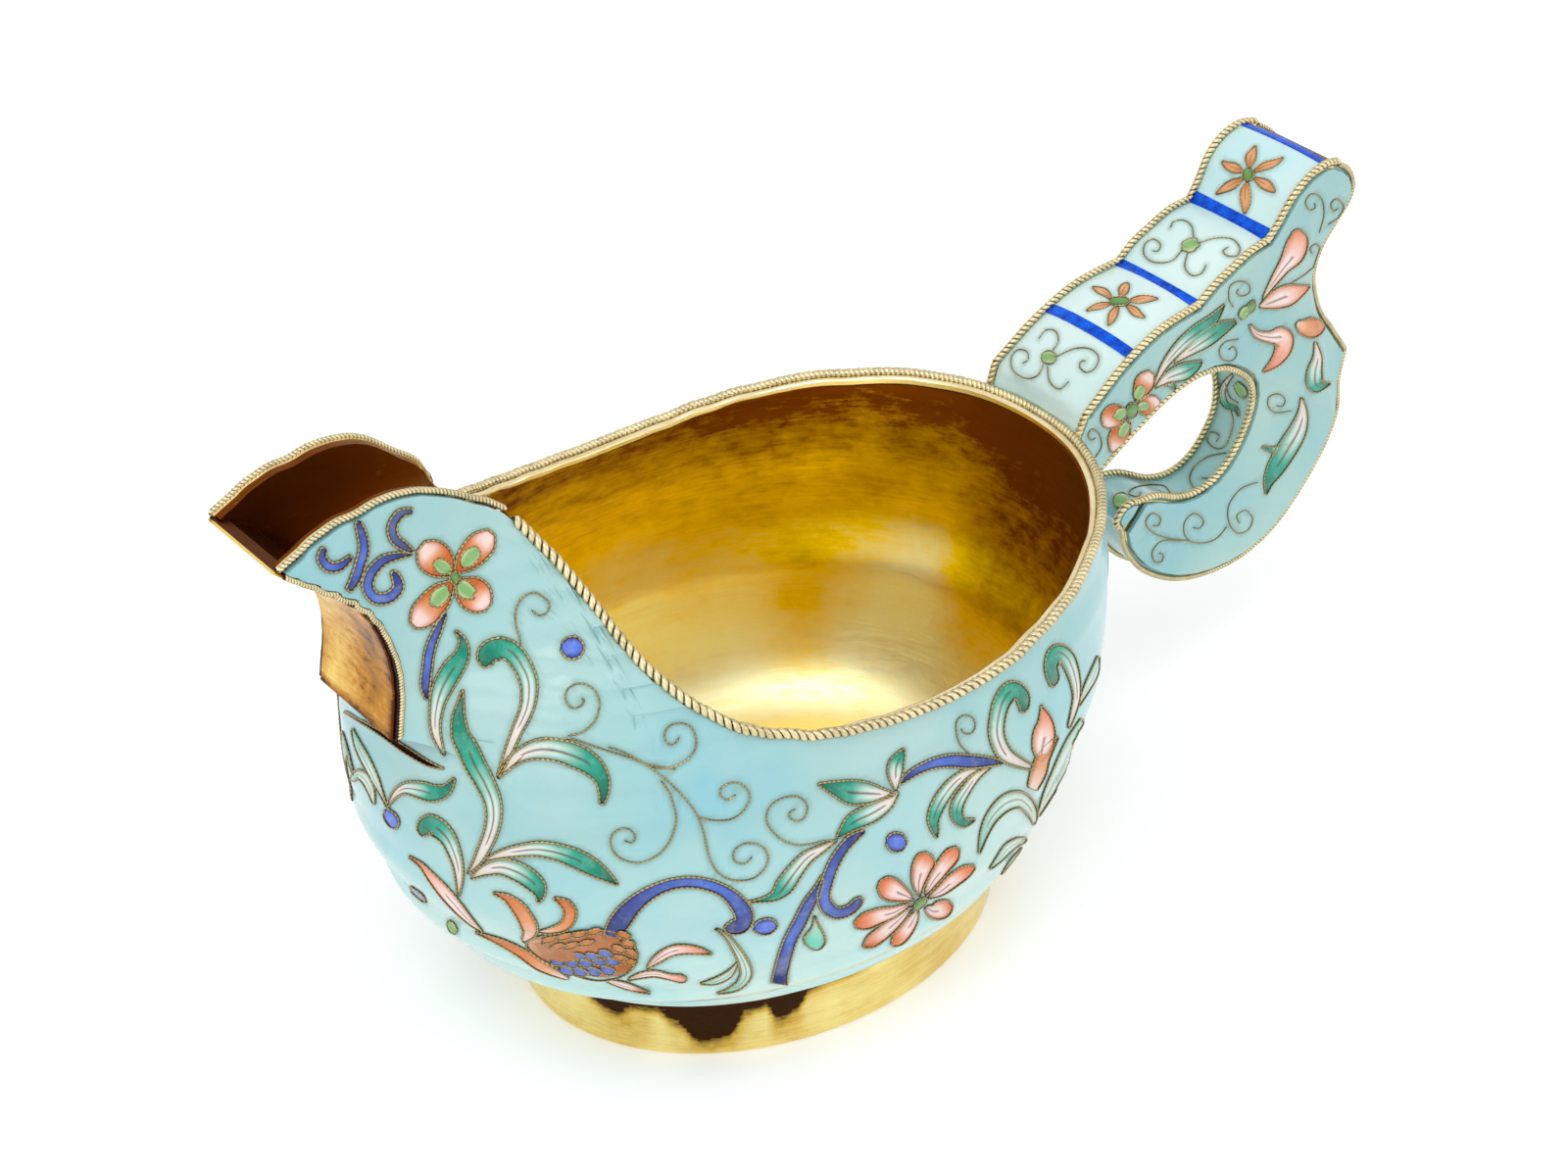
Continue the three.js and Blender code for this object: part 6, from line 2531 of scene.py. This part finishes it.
@dataclass
class Rim:
    """Rope and lip along the rim, and the edging of the prow."""

    walls: Walls
    wire: Wire
    gilt: Gilt
    rope: Rope = Rope(1.2, 1.95)
    tightness: tuple[tuple[float, ...], tuple[float, ...]] = ((0, 0.25, 0.42, 1), (1, 1.05, 1.6, 1.7))
    edging: Rope = Rope(0.7, 0.9, 6, 8)
    front_edging: Rope = Rope(0.62, 0.7, 6, 8)
    edging_place: Pair = (0.35, 0.15)
    edging_steps: int = 40
    front_lead: float = 0.35
    front_clearance: float = 0.3
    outset: float = 0.15
    rope_spacing: float = 1.0
    lip_spacing: float = 0.8
    lip_start: float = 0.42
    lip_width: float = 0.72
    lip_height: float = 0.75
    lip_rise: float = 0.15
    lip_crown: float = 0.06
    lip_bevels: Pair = (0.1, 0.15)
    edging_end: float = -0.7385
    cheek_lip: Pair = (0.62, 0.97)
    cheek_lip_rise: Pair = (-0.3, 0.12)

    def stations(self, spacing: float) -> list[tuple[float, Side]]:
        """Places along the rim, from the near cheek round the back to the far one.

        Args:
            spacing: Distance wanted between them.

        Returns:
            Turn and side of each.
        """
        turns = columns(self.walls, self.walls.turn(self.walls.rim_start), math.pi, spacing)
        near = [(turn, Side.NEAR) for turn in turns]
        return near + [(turn, Side.FAR) for turn in reversed(turns[:-1])]

    def build(self) -> None:
        """Builds the rope, the lip and the edging wires."""
        path = [self.walls.rim_point(turn, side, -self.outset, 0)
                for turn, side in self.stations(self.rope_spacing)]
        self.rope.piece("rim_rope_twist", self.wire, "rim_rope", path, UP, Curve(*self.tightness))
        self.lip()
        for side in Side:
            self.edge_wires(side)

    def lip(self) -> None:
        """Plain bright lip inside the rope."""
        outer, inner = self.lip_start, self.lip_start + self.lip_width
        low, high = self.lip_rise - self.lip_height, self.lip_rise
        fine, wide = self.lip_bevels
        middle = lerp(outer, inner, 0.5)
        profile = [(outer, high - fine), (outer + fine, high), (middle, high + self.lip_crown),
                   (inner - wide, high), (inner, high - wide), (inner, low), (outer, low),
                   (outer, high - fine)]
        loops = [[self.walls.rim_point(turn, side, *corner) for corner in profile]
                 for turn, side in self.stations(self.lip_spacing)]
        closed(loops).piece("rim_lip_band", self.gilt, "rim_lip")

    def edge_wires(self, side: Side) -> None:
        """Fine twisted wires along one cheek's top and front, and the plain lip inside.

        Args:
            side: Side of the vessel.
        """
        walls, steps = self.walls, self.edging_steps
        first, last = walls.turn(walls.first_cheek), walls.turn(self.edging_end)
        turns = [lerp(first, last, i / steps) for i in range(steps + 1)]
        top = [walls.rim_point(turn, side, *self.edging_place) for turn in turns]
        self.edging.piece(f"cheek_top_edging_{side.label}", self.wire, f"prow_top_wire_{side.label}",
                          top, UP)
        (outer, inner), (low, high) = self.cheek_lip, self.cheek_lip_rise
        corners = [(outer, low), (outer, high), (inner, high), (inner, low), (outer, low)]
        lip = closed([[walls.rim_point(turn, side, *corner) for corner in corners] for turn in turns])
        lip.piece(f"cheek_lip_{side.label}", self.gilt)
        start, end = walls.ledge + self.front_clearance, walls.edge(first, side, self.front_clearance)
        line = []
        for i in range(steps + 1):
            height = lerp(start, end, i / steps)
            out = Vector((-1, 0, walls.plate_slope(height))).normalized() * self.front_lead
            line.append(Vector((walls.cheek_face(height), walls.channel(height) * side.value, height)) + out)
        self.front_edging.piece(f"cheek_front_edging_{side.label}", self.wire,
                                f"prow_front_wire_{side.label}", line, Vector((-1, 0, 0)))


@dataclass
class Handle:
    """Loop handle: enamelled sides, lobed strap with cobalt bars, back, finger loop and ropes."""

    walls: Walls
    gilt: Gilt
    enamel: Ground
    panel: Ground
    cobalt: Cobalt
    cells: Shaded
    wire_finish: Wire
    rope_finish: Wire
    camera: PhotoCamera
    # Outline
    length: float = 48.7
    height: float = 54.1
    bottom: float = 16.7
    # Width, narrowing downwards, and the far root's flare
    half_width: float = 6.7
    taper: float = 0.14
    hook_drop: float = 26
    hook_taper: float = 0.03
    root_flare: float = 2
    flare_share: float = 0.26
    rise_angle: float = math.radians(27.6)
    # Enamel, strip, ropes and wires
    panel_thickness: float = 0.5
    strip_depth: float = 1.45
    strip_lead: float = 4
    rope: Rope = Rope(0.9, 1.3)
    back_rope: Rope = Rope(0.7, 0.9, 6, 8)
    rope_inset: float = 0.5
    wire: BeadedWire = BeadedWire(0.25)
    thin: BeadedWire = BeadedWire(0.18, 0.44)
    rope_drop: float = 0.15
    edge_room: float = 0.8
    back_depth: float = 0.25
    lobe_steps: int = 14
    step: float = 0.8
    quick_step: float = 2.0
    strap_spacing: float = 0.35
    # Cobalt bars and the strap's crown
    band_places: tuple[float, ...] = (0.153, 0.357, 0.583, 0.747)
    band_width: float = 1.1
    band_thickness: float = 0.65
    crown_places: tuple[float, ...] = (40.2, 40.5, 40.8, 42, 46.4, 57.3, 68.3, 76.3, 79)
    crown_power: float = 2.4
    crowns: tuple[float, ...] = (0, 0.08, 0.4, 0.8, 0.9, 0.45, 0.32, 0.25, 0.2)
    # Outline traced from the photograph, as (x, z) for the root and as shares for the rest
    root: Trace = ((40.2, 49.2), (40.45, 50.1), (40.66, 50.9))
    root_lift: float = 0.3
    tail: Trace = ((0.222, 0.272), (0.209, 0.293), (0.222, 0.314), (0.245, 0.32), (0.267, 0.314))
    lobes: tuple[Trace, ...] = (
        ((0.023, 0.647), (0.097, 0.708), (0.154, 0.743), (0.214, 0.769), (0.277, 0.782), (0.359, 0.789)),
        ((0.359, 0.789), (0.402, 0.819), (0.454, 0.841), (0.515, 0.863), (0.579, 0.871)),
        ((0.579, 0.871), (0.61, 0.911), (0.639, 0.954), (0.68, 0.985), (0.733, 1), (0.786, 0.991)))
    curl_back: Trace = (
        (0.786, 0.991), (0.836, 0.959), (0.867, 0.911), (0.862, 0.871), (0.828, 0.828), (0.795, 0.782),
        (0.786, 0.726), (0.807, 0.665), (0.854, 0.591), (0.916, 0.527), (0.984, 0.449))
    hook_back: Trace = (
        (0.984, 0.449), (0.974, 0.375), (0.984, 0.285), (0.953, 0.203), (0.89, 0.12), (0.803, 0.045),
        (0.695, 0.006), (0.567, 0.006), (0.444, 0.038), (0.331, 0.106), (0.258, 0.19), (0.222, 0.272))
    loop: Trace = (
        (0.267, 0.314), (0.335, 0.301), (0.419, 0.262), (0.493, 0.248), (0.559, 0.262), (0.614, 0.307),
        (0.651, 0.375), (0.653, 0.449), (0.62, 0.508), (0.556, 0.558), (0.485, 0.59), (0.402, 0.601),
        (0.31, 0.586), (0.218, 0.545), (0.125, 0.495), (0.043, 0.447))

    def run(self, shares: Trace, steps: int = 8) -> list[Pair]:
        """Smooth (x, z) run through shares of the handle's length and height."""
        start = self.walls.rim_back
        return spline([(start + a * self.length, self.bottom + b * self.height) for a, b in shares], steps)

    def half(self, x: float, z: float, side: Side) -> float:
        """Half width of the handle at a place.

        Args:
            x: X of the place.
            z: Height of the place.
            side: Side of the vessel, since the far root flares.

        Returns:
            The half width.
        """
        root = lerp(self.walls.rim_low, self.walls.prow_top, self.walls.rim_rises[-1])
        out = x - self.walls.rim_back
        below = math.sin(self.rise_angle) * out - math.cos(self.rise_angle) * (z - root)
        wedge = self.taper * min(below, self.hook_drop) + self.hook_taper * max(below - self.hook_drop, 0)
        flare = 1 - out / (self.flare_share * self.length) if side is Side.FAR else 0
        return self.half_width - wedge + self.root_flare * clamp(flare) ** 2

    def moved(self, run: Sequence[Pair], distance: float) -> list[Pair]:
        """Run moved sideways.

        Args:
            run: The run.
            distance: How far, to the right of its way where it is above nought.

        Returns:
            The moved run.
        """
        shifted = []
        for (x, z), (before, after) in zip(run, neighbours(run)):
            dx, dz = after[0] - before[0], after[1] - before[1]
            size = math.hypot(dx, dz) or 1
            shifted.append((x + dz / size * distance, z - dx / size * distance))
        return shifted

    def strip(self, run: Sequence[Pair], shallow: float, deep: float, crowned: bool = False,
              rooted: bool = False, across: int = 26) -> Sheet:
        """Skin across the handle between its ropes.

        Args:
            run: Its outline.
            shallow: Depth of its outer face.
            deep: Depth of its inner face.
            crowned: Whether its middle stands over its edges.
            rooted: Whether it starts along the rim.
            across: Spans across it.

        Returns:
            The skin, closed.
        """
        outer, inner, raised = (self.moved(run, depth) for depth in (shallow, deep, shallow - 1))
        rises = Curve(self.crown_places, self.crowns)
        loops = []
        for (x, z), (low_x, low_z), (up_x, up_z) in zip(outer, inner, raised):
            far = self.half(x, z, Side.FAR) - self.edge_room
            near = -self.half(x, z, Side.NEAR) + self.edge_room
            crown = rises.at(x) if crowned else 0.0
            top = []
            for i in range(across + 1):
                share = i / across
                swell = crown * (1 - abs(2 * share - 1) ** self.crown_power)
                top.append(Vector((lerp(x, up_x, swell), lerp(near, far, share), lerp(z, up_z, swell))))
            bottom = [Vector((low_x, lerp(far, near, i / 4), low_z)) for i in range(5)]
            loops.append([*top, *bottom, top[0]])
        if rooted:
            loops.insert(0, [self.at_rim(place) for place in loops[0]])
        return closed(loops)

    def at_rim(self, place: Vector) -> Vector:
        """Point of the strap's root moved back to the rim's rope, which curves away from its middle.

        Args:
            place: Point on the straight root.

        Returns:
            The moved point.
        """
        half = self.walls.level(self.walls.rim_low)[2]
        power = self.walls.squareness
        back = self.walls.rim_back * (1 - (abs(place.y) / half) ** power) ** (1 / power)
        return Vector((place.x + back - self.walls.rim_back, place.y, place.z + self.root_lift))

    def trim_root(self, sheet: Sheet) -> None:
        """Cuts off a plate's corner that stands past the root, and closes the cut.

        Args:
            sheet: The plate.
        """
        low, high = self.root[0], self.run(self.lobes[0])[0]
        out = Vector((low[1] - high[1], 0, high[0] - low[0])).normalized()
        geometry = [*sheet.mesh.verts, *sheet.mesh.edges, *sheet.mesh.faces]
        corner = Vector((high[0], 0, high[1]))
        cut = bmesh.ops.bisect_plane(sheet.mesh, geom=geometry, dist=NEARNESS, plane_co=corner, plane_no=out,
                                     clear_outer=True)["geom_cut"]
        edges = [part for part in cut if isinstance(part, bmesh.types.BMEdge)]
        bmesh.ops.holes_fill(sheet.mesh, edges=edges)

    def plate_copy(self, name: str) -> Sheet:
        """A packed plate of the handle in millimetres, without its corner past the root.

        Args:
            name: Name of its node.

        Returns:
            The plate.
        """
        sheet = Sheet()
        sheet.mesh.from_mesh(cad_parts[name].data)
        bmesh.ops.scale(sheet.mesh, vec=(1 / MM, 1 / MM, 1 / MM), verts=sheet.mesh.verts)
        bmesh.ops.remove_doubles(sheet.mesh, verts=sheet.mesh.verts, dist=0.001)
        self.trim_root(sheet)
        return sheet

    def side_skin(self, side: Side) -> Sheet:
        """Side enamel, cut fine from its packed plate.

        Args:
            side: Side of the vessel.

        Returns:
            The plate with faces small enough for the darkening painted along the wires.
        """
        sheet = self.plate_copy(f"handle_enamel_{side.label}")
        mesh = sheet.mesh
        step = self.step
        back = self.walls.rim_back
        for way, low, high in ((Vector((1, 0, 0)), back - 1, back + self.length),
                               (UP, self.bottom, self.bottom + self.height)):
            for i in range(1, int((high - low) / step)):
                bmesh.ops.bisect_plane(mesh, geom=[*mesh.verts, *mesh.edges, *mesh.faces], dist=NEARNESS,
                                       plane_co=way * (low + i * step), plane_no=way)
        return sheet

    def build(self) -> None:
        """Builds every piece of the handle."""
        lobes = [self.run(lobe, self.lobe_steps) for lobe in self.lobes]
        top = [*self.root, *lobes[0], *lobes[1][1:], *lobes[2][1:]]
        back = self.moved([*self.run(self.curl_back), *self.run(self.hook_back)[1:]], self.back_depth)[1:-1]
        loop = self.run((*self.tail, *self.loop[1:]))
        self.strap(top)
        self.strips(back, loop)
        self.sides()
        ropes = ((top[:-1], self.rope, "strap_rope", "handle_top_rope"),
                 (loop, self.rope, "loop_rope", "handle_loop_rope"),
                 (back, self.back_rope, "heel_rope", "handle_back_wire"))
        for side in Side:
            for run, rope, name, node in ropes:
                path = [Vector((x, side.value * (self.half(x, z, side) - self.rope_inset), z))
                        for x, z in self.moved(run, self.rope_drop - rope.diameter / 2)]
                rope.piece(f"{name}_{side.label}", self.rope_finish, f"{node}_{side.label}", path,
                           Vector((0, side.value, 0)))
        for side in Side:
            node = f"handle_side_{side.label}"
            self.plate_copy(node).piece(f"handle_plate_{side.label}", self.gilt, node)
        for node in ("handle_back_strip", "handle_loop_strip"):
            self.gilt.coat(node)

    def strips(self, back: Sequence[Pair], loop: Sequence[Pair]) -> None:
        """Enamel and ornament of the back and of the finger loop.

        Args:
            back: Outline of the back.
            loop: Outline of the finger loop.
        """
        heel, ring = (self.strip(run, 0, self.panel_thickness) for run in (back, loop))
        for side in Side:
            self.tail_cap(ring, side)
        for name, sheet, node, view, unit, cells, curls, wire in (
                ("loop", ring, "handle_loop_enamel", self.camera, PIXEL, LOOP_CELLS, LOOP_CURLS, self.thin),
                ("heel", heel, "handle_back_enamel", FlatView(BEHIND), 1, HEEL_CELLS, HEEL_CURLS, self.wire)):
            drawing = Ornament(BVHTree.FromBMesh(sheet.mesh), view, unit)
            drawing.draw(cells, curls, wire, self.thin)
            soil(sheet, drawing.trail)
            drawing.pieces(name, self.cells, self.wire_finish)
            sheet.piece(f"{name}_enamel_skin", self.enamel, node)

    def tail_cap(self, sheet: Sheet, side: Side) -> None:
        """Side enamel of the tail's round end.

        Args:
            sheet: The skin that it joins.
            side: Side of the vessel.
        """
        tail = self.moved(self.run(self.tail), 0.1)
        loops = []
        for i, (x, z) in enumerate(tail):
            share = i / (len(tail) - 1)
            chord_x, chord_z = (lerp(first, last, share) for first, last in zip(tail[0], tail[-1]))
            face, back = (self.half(x, z, side) - depth for depth in (0.02, self.panel_thickness))
            corners = ((x, face, z), (chord_x, face, chord_z), (chord_x, back, chord_z), (x, back, z),
                       (x, face, z))
            loops.append([Vector((a, b * side.value, d)) for a, b, d in corners])
        lay(sheet, loops)

    def strap(self, top: Sequence[Pair]) -> None:
        """Lobed panels with a cobalt bar after each.

        Args:
            top: Outline of the strap.
        """
        bars = [self.walls.rim_back + share * self.length for share in self.band_places]
        form = Sheet()
        panels = []
        for i, x in enumerate(bars):
            start = top[0][0] if i == 0 else bars[i - 1]
            stretch = self.stretch(top, start, x)
            panels.append(self.strip(stretch, 0, self.panel_thickness, crowned=True, rooted=i == 0))
            shell = bpy.data.meshes.new("shell")
            panels[-1].mesh.to_mesh(shell)
            form.mesh.from_mesh(shell)
            bpy.data.meshes.remove(shell)
        under = self.stretch(top, bars[0] - self.strip_lead, bars[-1] + self.strip_lead)
        plain = self.strip(under, self.panel_thickness, self.strip_depth)
        plain.piece("strap_strip", self.gilt, "handle_top_strip")
        drawing = Ornament(BVHTree.FromBMesh(form.mesh), self.camera, PIXEL)
        drawing.draw(STRAP_CELLS, STRAP_CURLS, self.thin, self.thin)
        form.mesh.free()
        for i, panel in enumerate(panels):
            soil(panel, drawing.trail)
            panel.piece(f"strap_panel_{i + 1}", self.panel, f"top_panel_{i + 1}")
        drawing.pieces("strap", self.cells, self.wire_finish)
        bar_top = self.panel_thickness - self.band_thickness
        for i, x in enumerate(bars):
            stretch = self.stretch(top, x - self.band_width / 2, x + self.band_width / 2)
            bar = self.strip(stretch, bar_top, self.panel_thickness, crowned=True)
            bar.piece(f"cobalt_bar_{i + 1}", self.cobalt, f"cobalt_band_{i + 1}")

    def stretch(self, run: Sequence[Pair], low: float, high: float) -> list[Pair]:
        """Part of a run between two values of X.

        Args:
            run: A run of rising X.
            low: X of its start.
            high: X of its end.

        Returns:
            Evenly spaced points of that part.
        """
        def at(x: float) -> Pair:
            """Point of the run at an X.

            Args:
                x: The X.

            Returns:
                The point.
            """
            for (ax, az), (bx, bz) in zip(run, run[1:]):
                if bx >= x:
                    return x, lerp(az, bz, (x - ax) / (bx - ax))
            return run[-1]

        count = max(3, round((high - low) / self.strap_spacing))
        return [at(lerp(low, high, i / count)) for i in range(count + 1)]

    def sides(self) -> None:
        """Side plates' enamel with its ornament, near and far."""
        near, far = self.side_skin(Side.NEAR), self.side_skin(Side.FAR)
        drawing = Ornament(BVHTree.FromBMesh(near.mesh), self.camera, PIXEL)
        drawing.draw(HANDLE_CELLS, HANDLE_CURLS, self.wire, self.thin)

        def carry(place: Vector) -> Vector:
            """Where a point of the near side lies on the far side."""
            more = self.half(place.x, place.z, Side.FAR) - self.half(place.x, place.z, Side.NEAR)
            return Vector((place.x, more - place.y, place.z))

        soil(near, drawing.trail)
        soil(far, [carry(place) for place in drawing.trail])
        for part, label, finish in ((drawing.cells, "cells", self.cells),
                                    (drawing.wires, "wires", self.wire_finish)):
            part.across(carry).piece(f"handle_{label}_far", finish, crease=WIRE_CREASE)
            part.piece(f"handle_{label}_near", finish, crease=WIRE_CREASE)
        near.piece("handle_skin_near", self.enamel, "handle_enamel_near")
        far.piece("handle_skin_far", self.enamel, "handle_enamel_far")


@dataclass
class Studio:
    """Pale floor, white surround and soft lamps.

    Attributes:
        floor_size: Width of the floor, in metres.
        floor_tone: Colour of the floor.
        floor_lift: How much light the floor adds where the camera sees it.
        sky: Strength of the surround as it lights the vessel.
        target: Where the lamps are aimed, in metres.
        lamps: Name, place in metres, width and watts of each lamp.
    """

    floor_size: float = 6.0
    floor_tone: Rgb = (0.9, 0.9, 0.9)
    floor_lift: float = 0.2
    sky: float = 0.85
    target: Triple = (0, 0, 0.03)
    lamps: tuple[tuple[str, Triple, float, float], ...] = (
        ("key_lamp", (-0.35, -0.25, 0.85), 0.55, 2.2),
        ("fill_lamp", (0.55, -0.7, 0.5), 0.6, 1.0),
        ("low_lamp", (-0.75, -0.45, 0.16), 0.5, 1.0))

    def build(self) -> None:
        """Builds the floor, the surround and the lamps."""
        self.floor()
        self.surround()
        for lamp in self.lamps:
            self.lamp(*lamp)
        bpy.context.scene.view_settings.view_transform = "Standard"

    def floor(self) -> None:
        """Floor that stays near white for the camera and keeps the shadow."""
        mesh = bmesh.new()
        bmesh.ops.create_grid(mesh, x_segments=1, y_segments=1, size=self.floor_size / 2)
        data = bpy.data.meshes.new("floor")
        mesh.to_mesh(data)
        mesh.free()
        material = bpy.data.materials.new("pale_floor")
        nodes = Nodes(material, "Principled BSDF")
        nodes.fixed(Roughness=0.9, Specular_IOR_Level=0.0)
        nodes.shader.inputs["Base Color"].default_value = (*self.floor_tone, 1.0)
        nodes.shader.inputs["Emission Color"].default_value = (1, 1, 1, 1)
        nodes.join(nodes.span(self.seen(nodes), 0, 1, 0, self.floor_lift),
                   nodes.shader.inputs["Emission Strength"])
        data.materials.append(material)
        show("floor", data)

    def seen(self, nodes: Nodes) -> Socket:
        """One where a camera, mirror or glass ray looks, else nought.

        Args:
            nodes: The node sheet.

        Returns:
            The value's socket.
        """
        path = nodes.add("ShaderNodeLightPath")
        kinds = ("Camera", "Glossy", "Transmission")
        return nodes.calculated("MAXIMUM", *(path.outputs[f"Is {kind} Ray"] for kind in kinds))

    def surround(self) -> None:
        """White surround that lights the vessel softly."""
        world = bpy.data.worlds.new("studio")
        bpy.context.scene.world = world
        nodes = Nodes(world, "Background")
        nodes.shader.inputs["Color"].default_value = (1, 1, 1, 1)
        nodes.join(nodes.span(self.seen(nodes), 0, 1, self.sky, 1.0), nodes.shader.inputs["Strength"])

    def lamp(self, name: str, place: Triple, size: float, power: float) -> None:
        """Soft lamp aimed at the vessel.

        Args:
            name: Name of the lamp.
            place: Where it stands, in metres.
            size: Width of its square.
            power: Power in watts.
        """
        data = bpy.data.lights.new(name, "AREA")
        data.shape = "SQUARE"
        data.size = size
        data.energy = power
        aim = (Vector(self.target) - Vector(place)).to_track_quat("-Z", "Y")
        show(name, data).matrix_world = Matrix.Translation(place) @ aim.to_matrix().to_4x4()


def main() -> None:
    """Builds the camera, the studio and the vessel's sub-assemblies in order."""
    logging.basicConfig(level=logging.INFO, format="%(message)s")
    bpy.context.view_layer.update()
    walls = Walls()
    camera = PhotoCamera()
    camera.place()
    Studio().build()
    # Gilding inside, whose painted shade and reflections run from bright to dark brown
    interior = Gilt(bright=tint(255, 250, 196), warm=tint(250, 206, 0), tarnish_and_shade=tint(116, 60, 0),
                    grain=0.42, patches=0.1, cloudy=0.1, streaky=0.08, stained=0.06, ragged=0.12)
    # Dark gilt standing in for the shade in the prow's channel, the slit and the gaps
    throat_shade = Gilt(bright=tint(120, 62, 20), warm=tint(84, 34, 10), tarnish_and_shade=tint(36, 12, 4), grain=0.3,
                  stained=0.3)
    polished = Gilt(bright=tint(246, 226, 150), warm=tint(216, 176, 80), tarnish_and_shade=tint(56, 32, 16),
                    grain=0.2, brushing=0.003, cloudy=0.2, stained=0.12)
    pale = Gilt(bright=tint(240, 226, 184), warm=tint(212, 184, 128), grain=0.22, brushing=0.003)
    mottled = Gilt(bright=tint(242, 210, 118), warm=tint(190, 130, 36), tarnish_and_shade=tint(88, 44, 12),
                   grain=0.3, patches=0.22, cloudy=0.3, streaky=0.1, stained=0.36)
    rope = Wire(low=tint(70, 54, 32))
    wire = Wire(high=tint(186, 170, 122), low=tint(48, 42, 28))
    greener = Ground(pale=tint(158, 203, 200), blue=tint(142, 196, 202), milky=tint(178, 212, 204),
                     height_shade_strength=0.4)
    panel = Ground(pale=tint(200, 230, 228), blue=tint(184, 224, 230), milky=tint(214, 236, 233),
                   height_shade_strength=0.0, slot="panel")
    shaded = Shaded()
    Foot(walls, polished).build()
    Body(walls, interior, throat_shade, mottled, Ground(), shaded, wire, camera).build()
    Rim(walls, rope, pale).build()
    Handle(walls, polished, greener, panel, Cobalt(), shaded, wire, rope, camera).build()


if __name__ == "__main__":
    main()
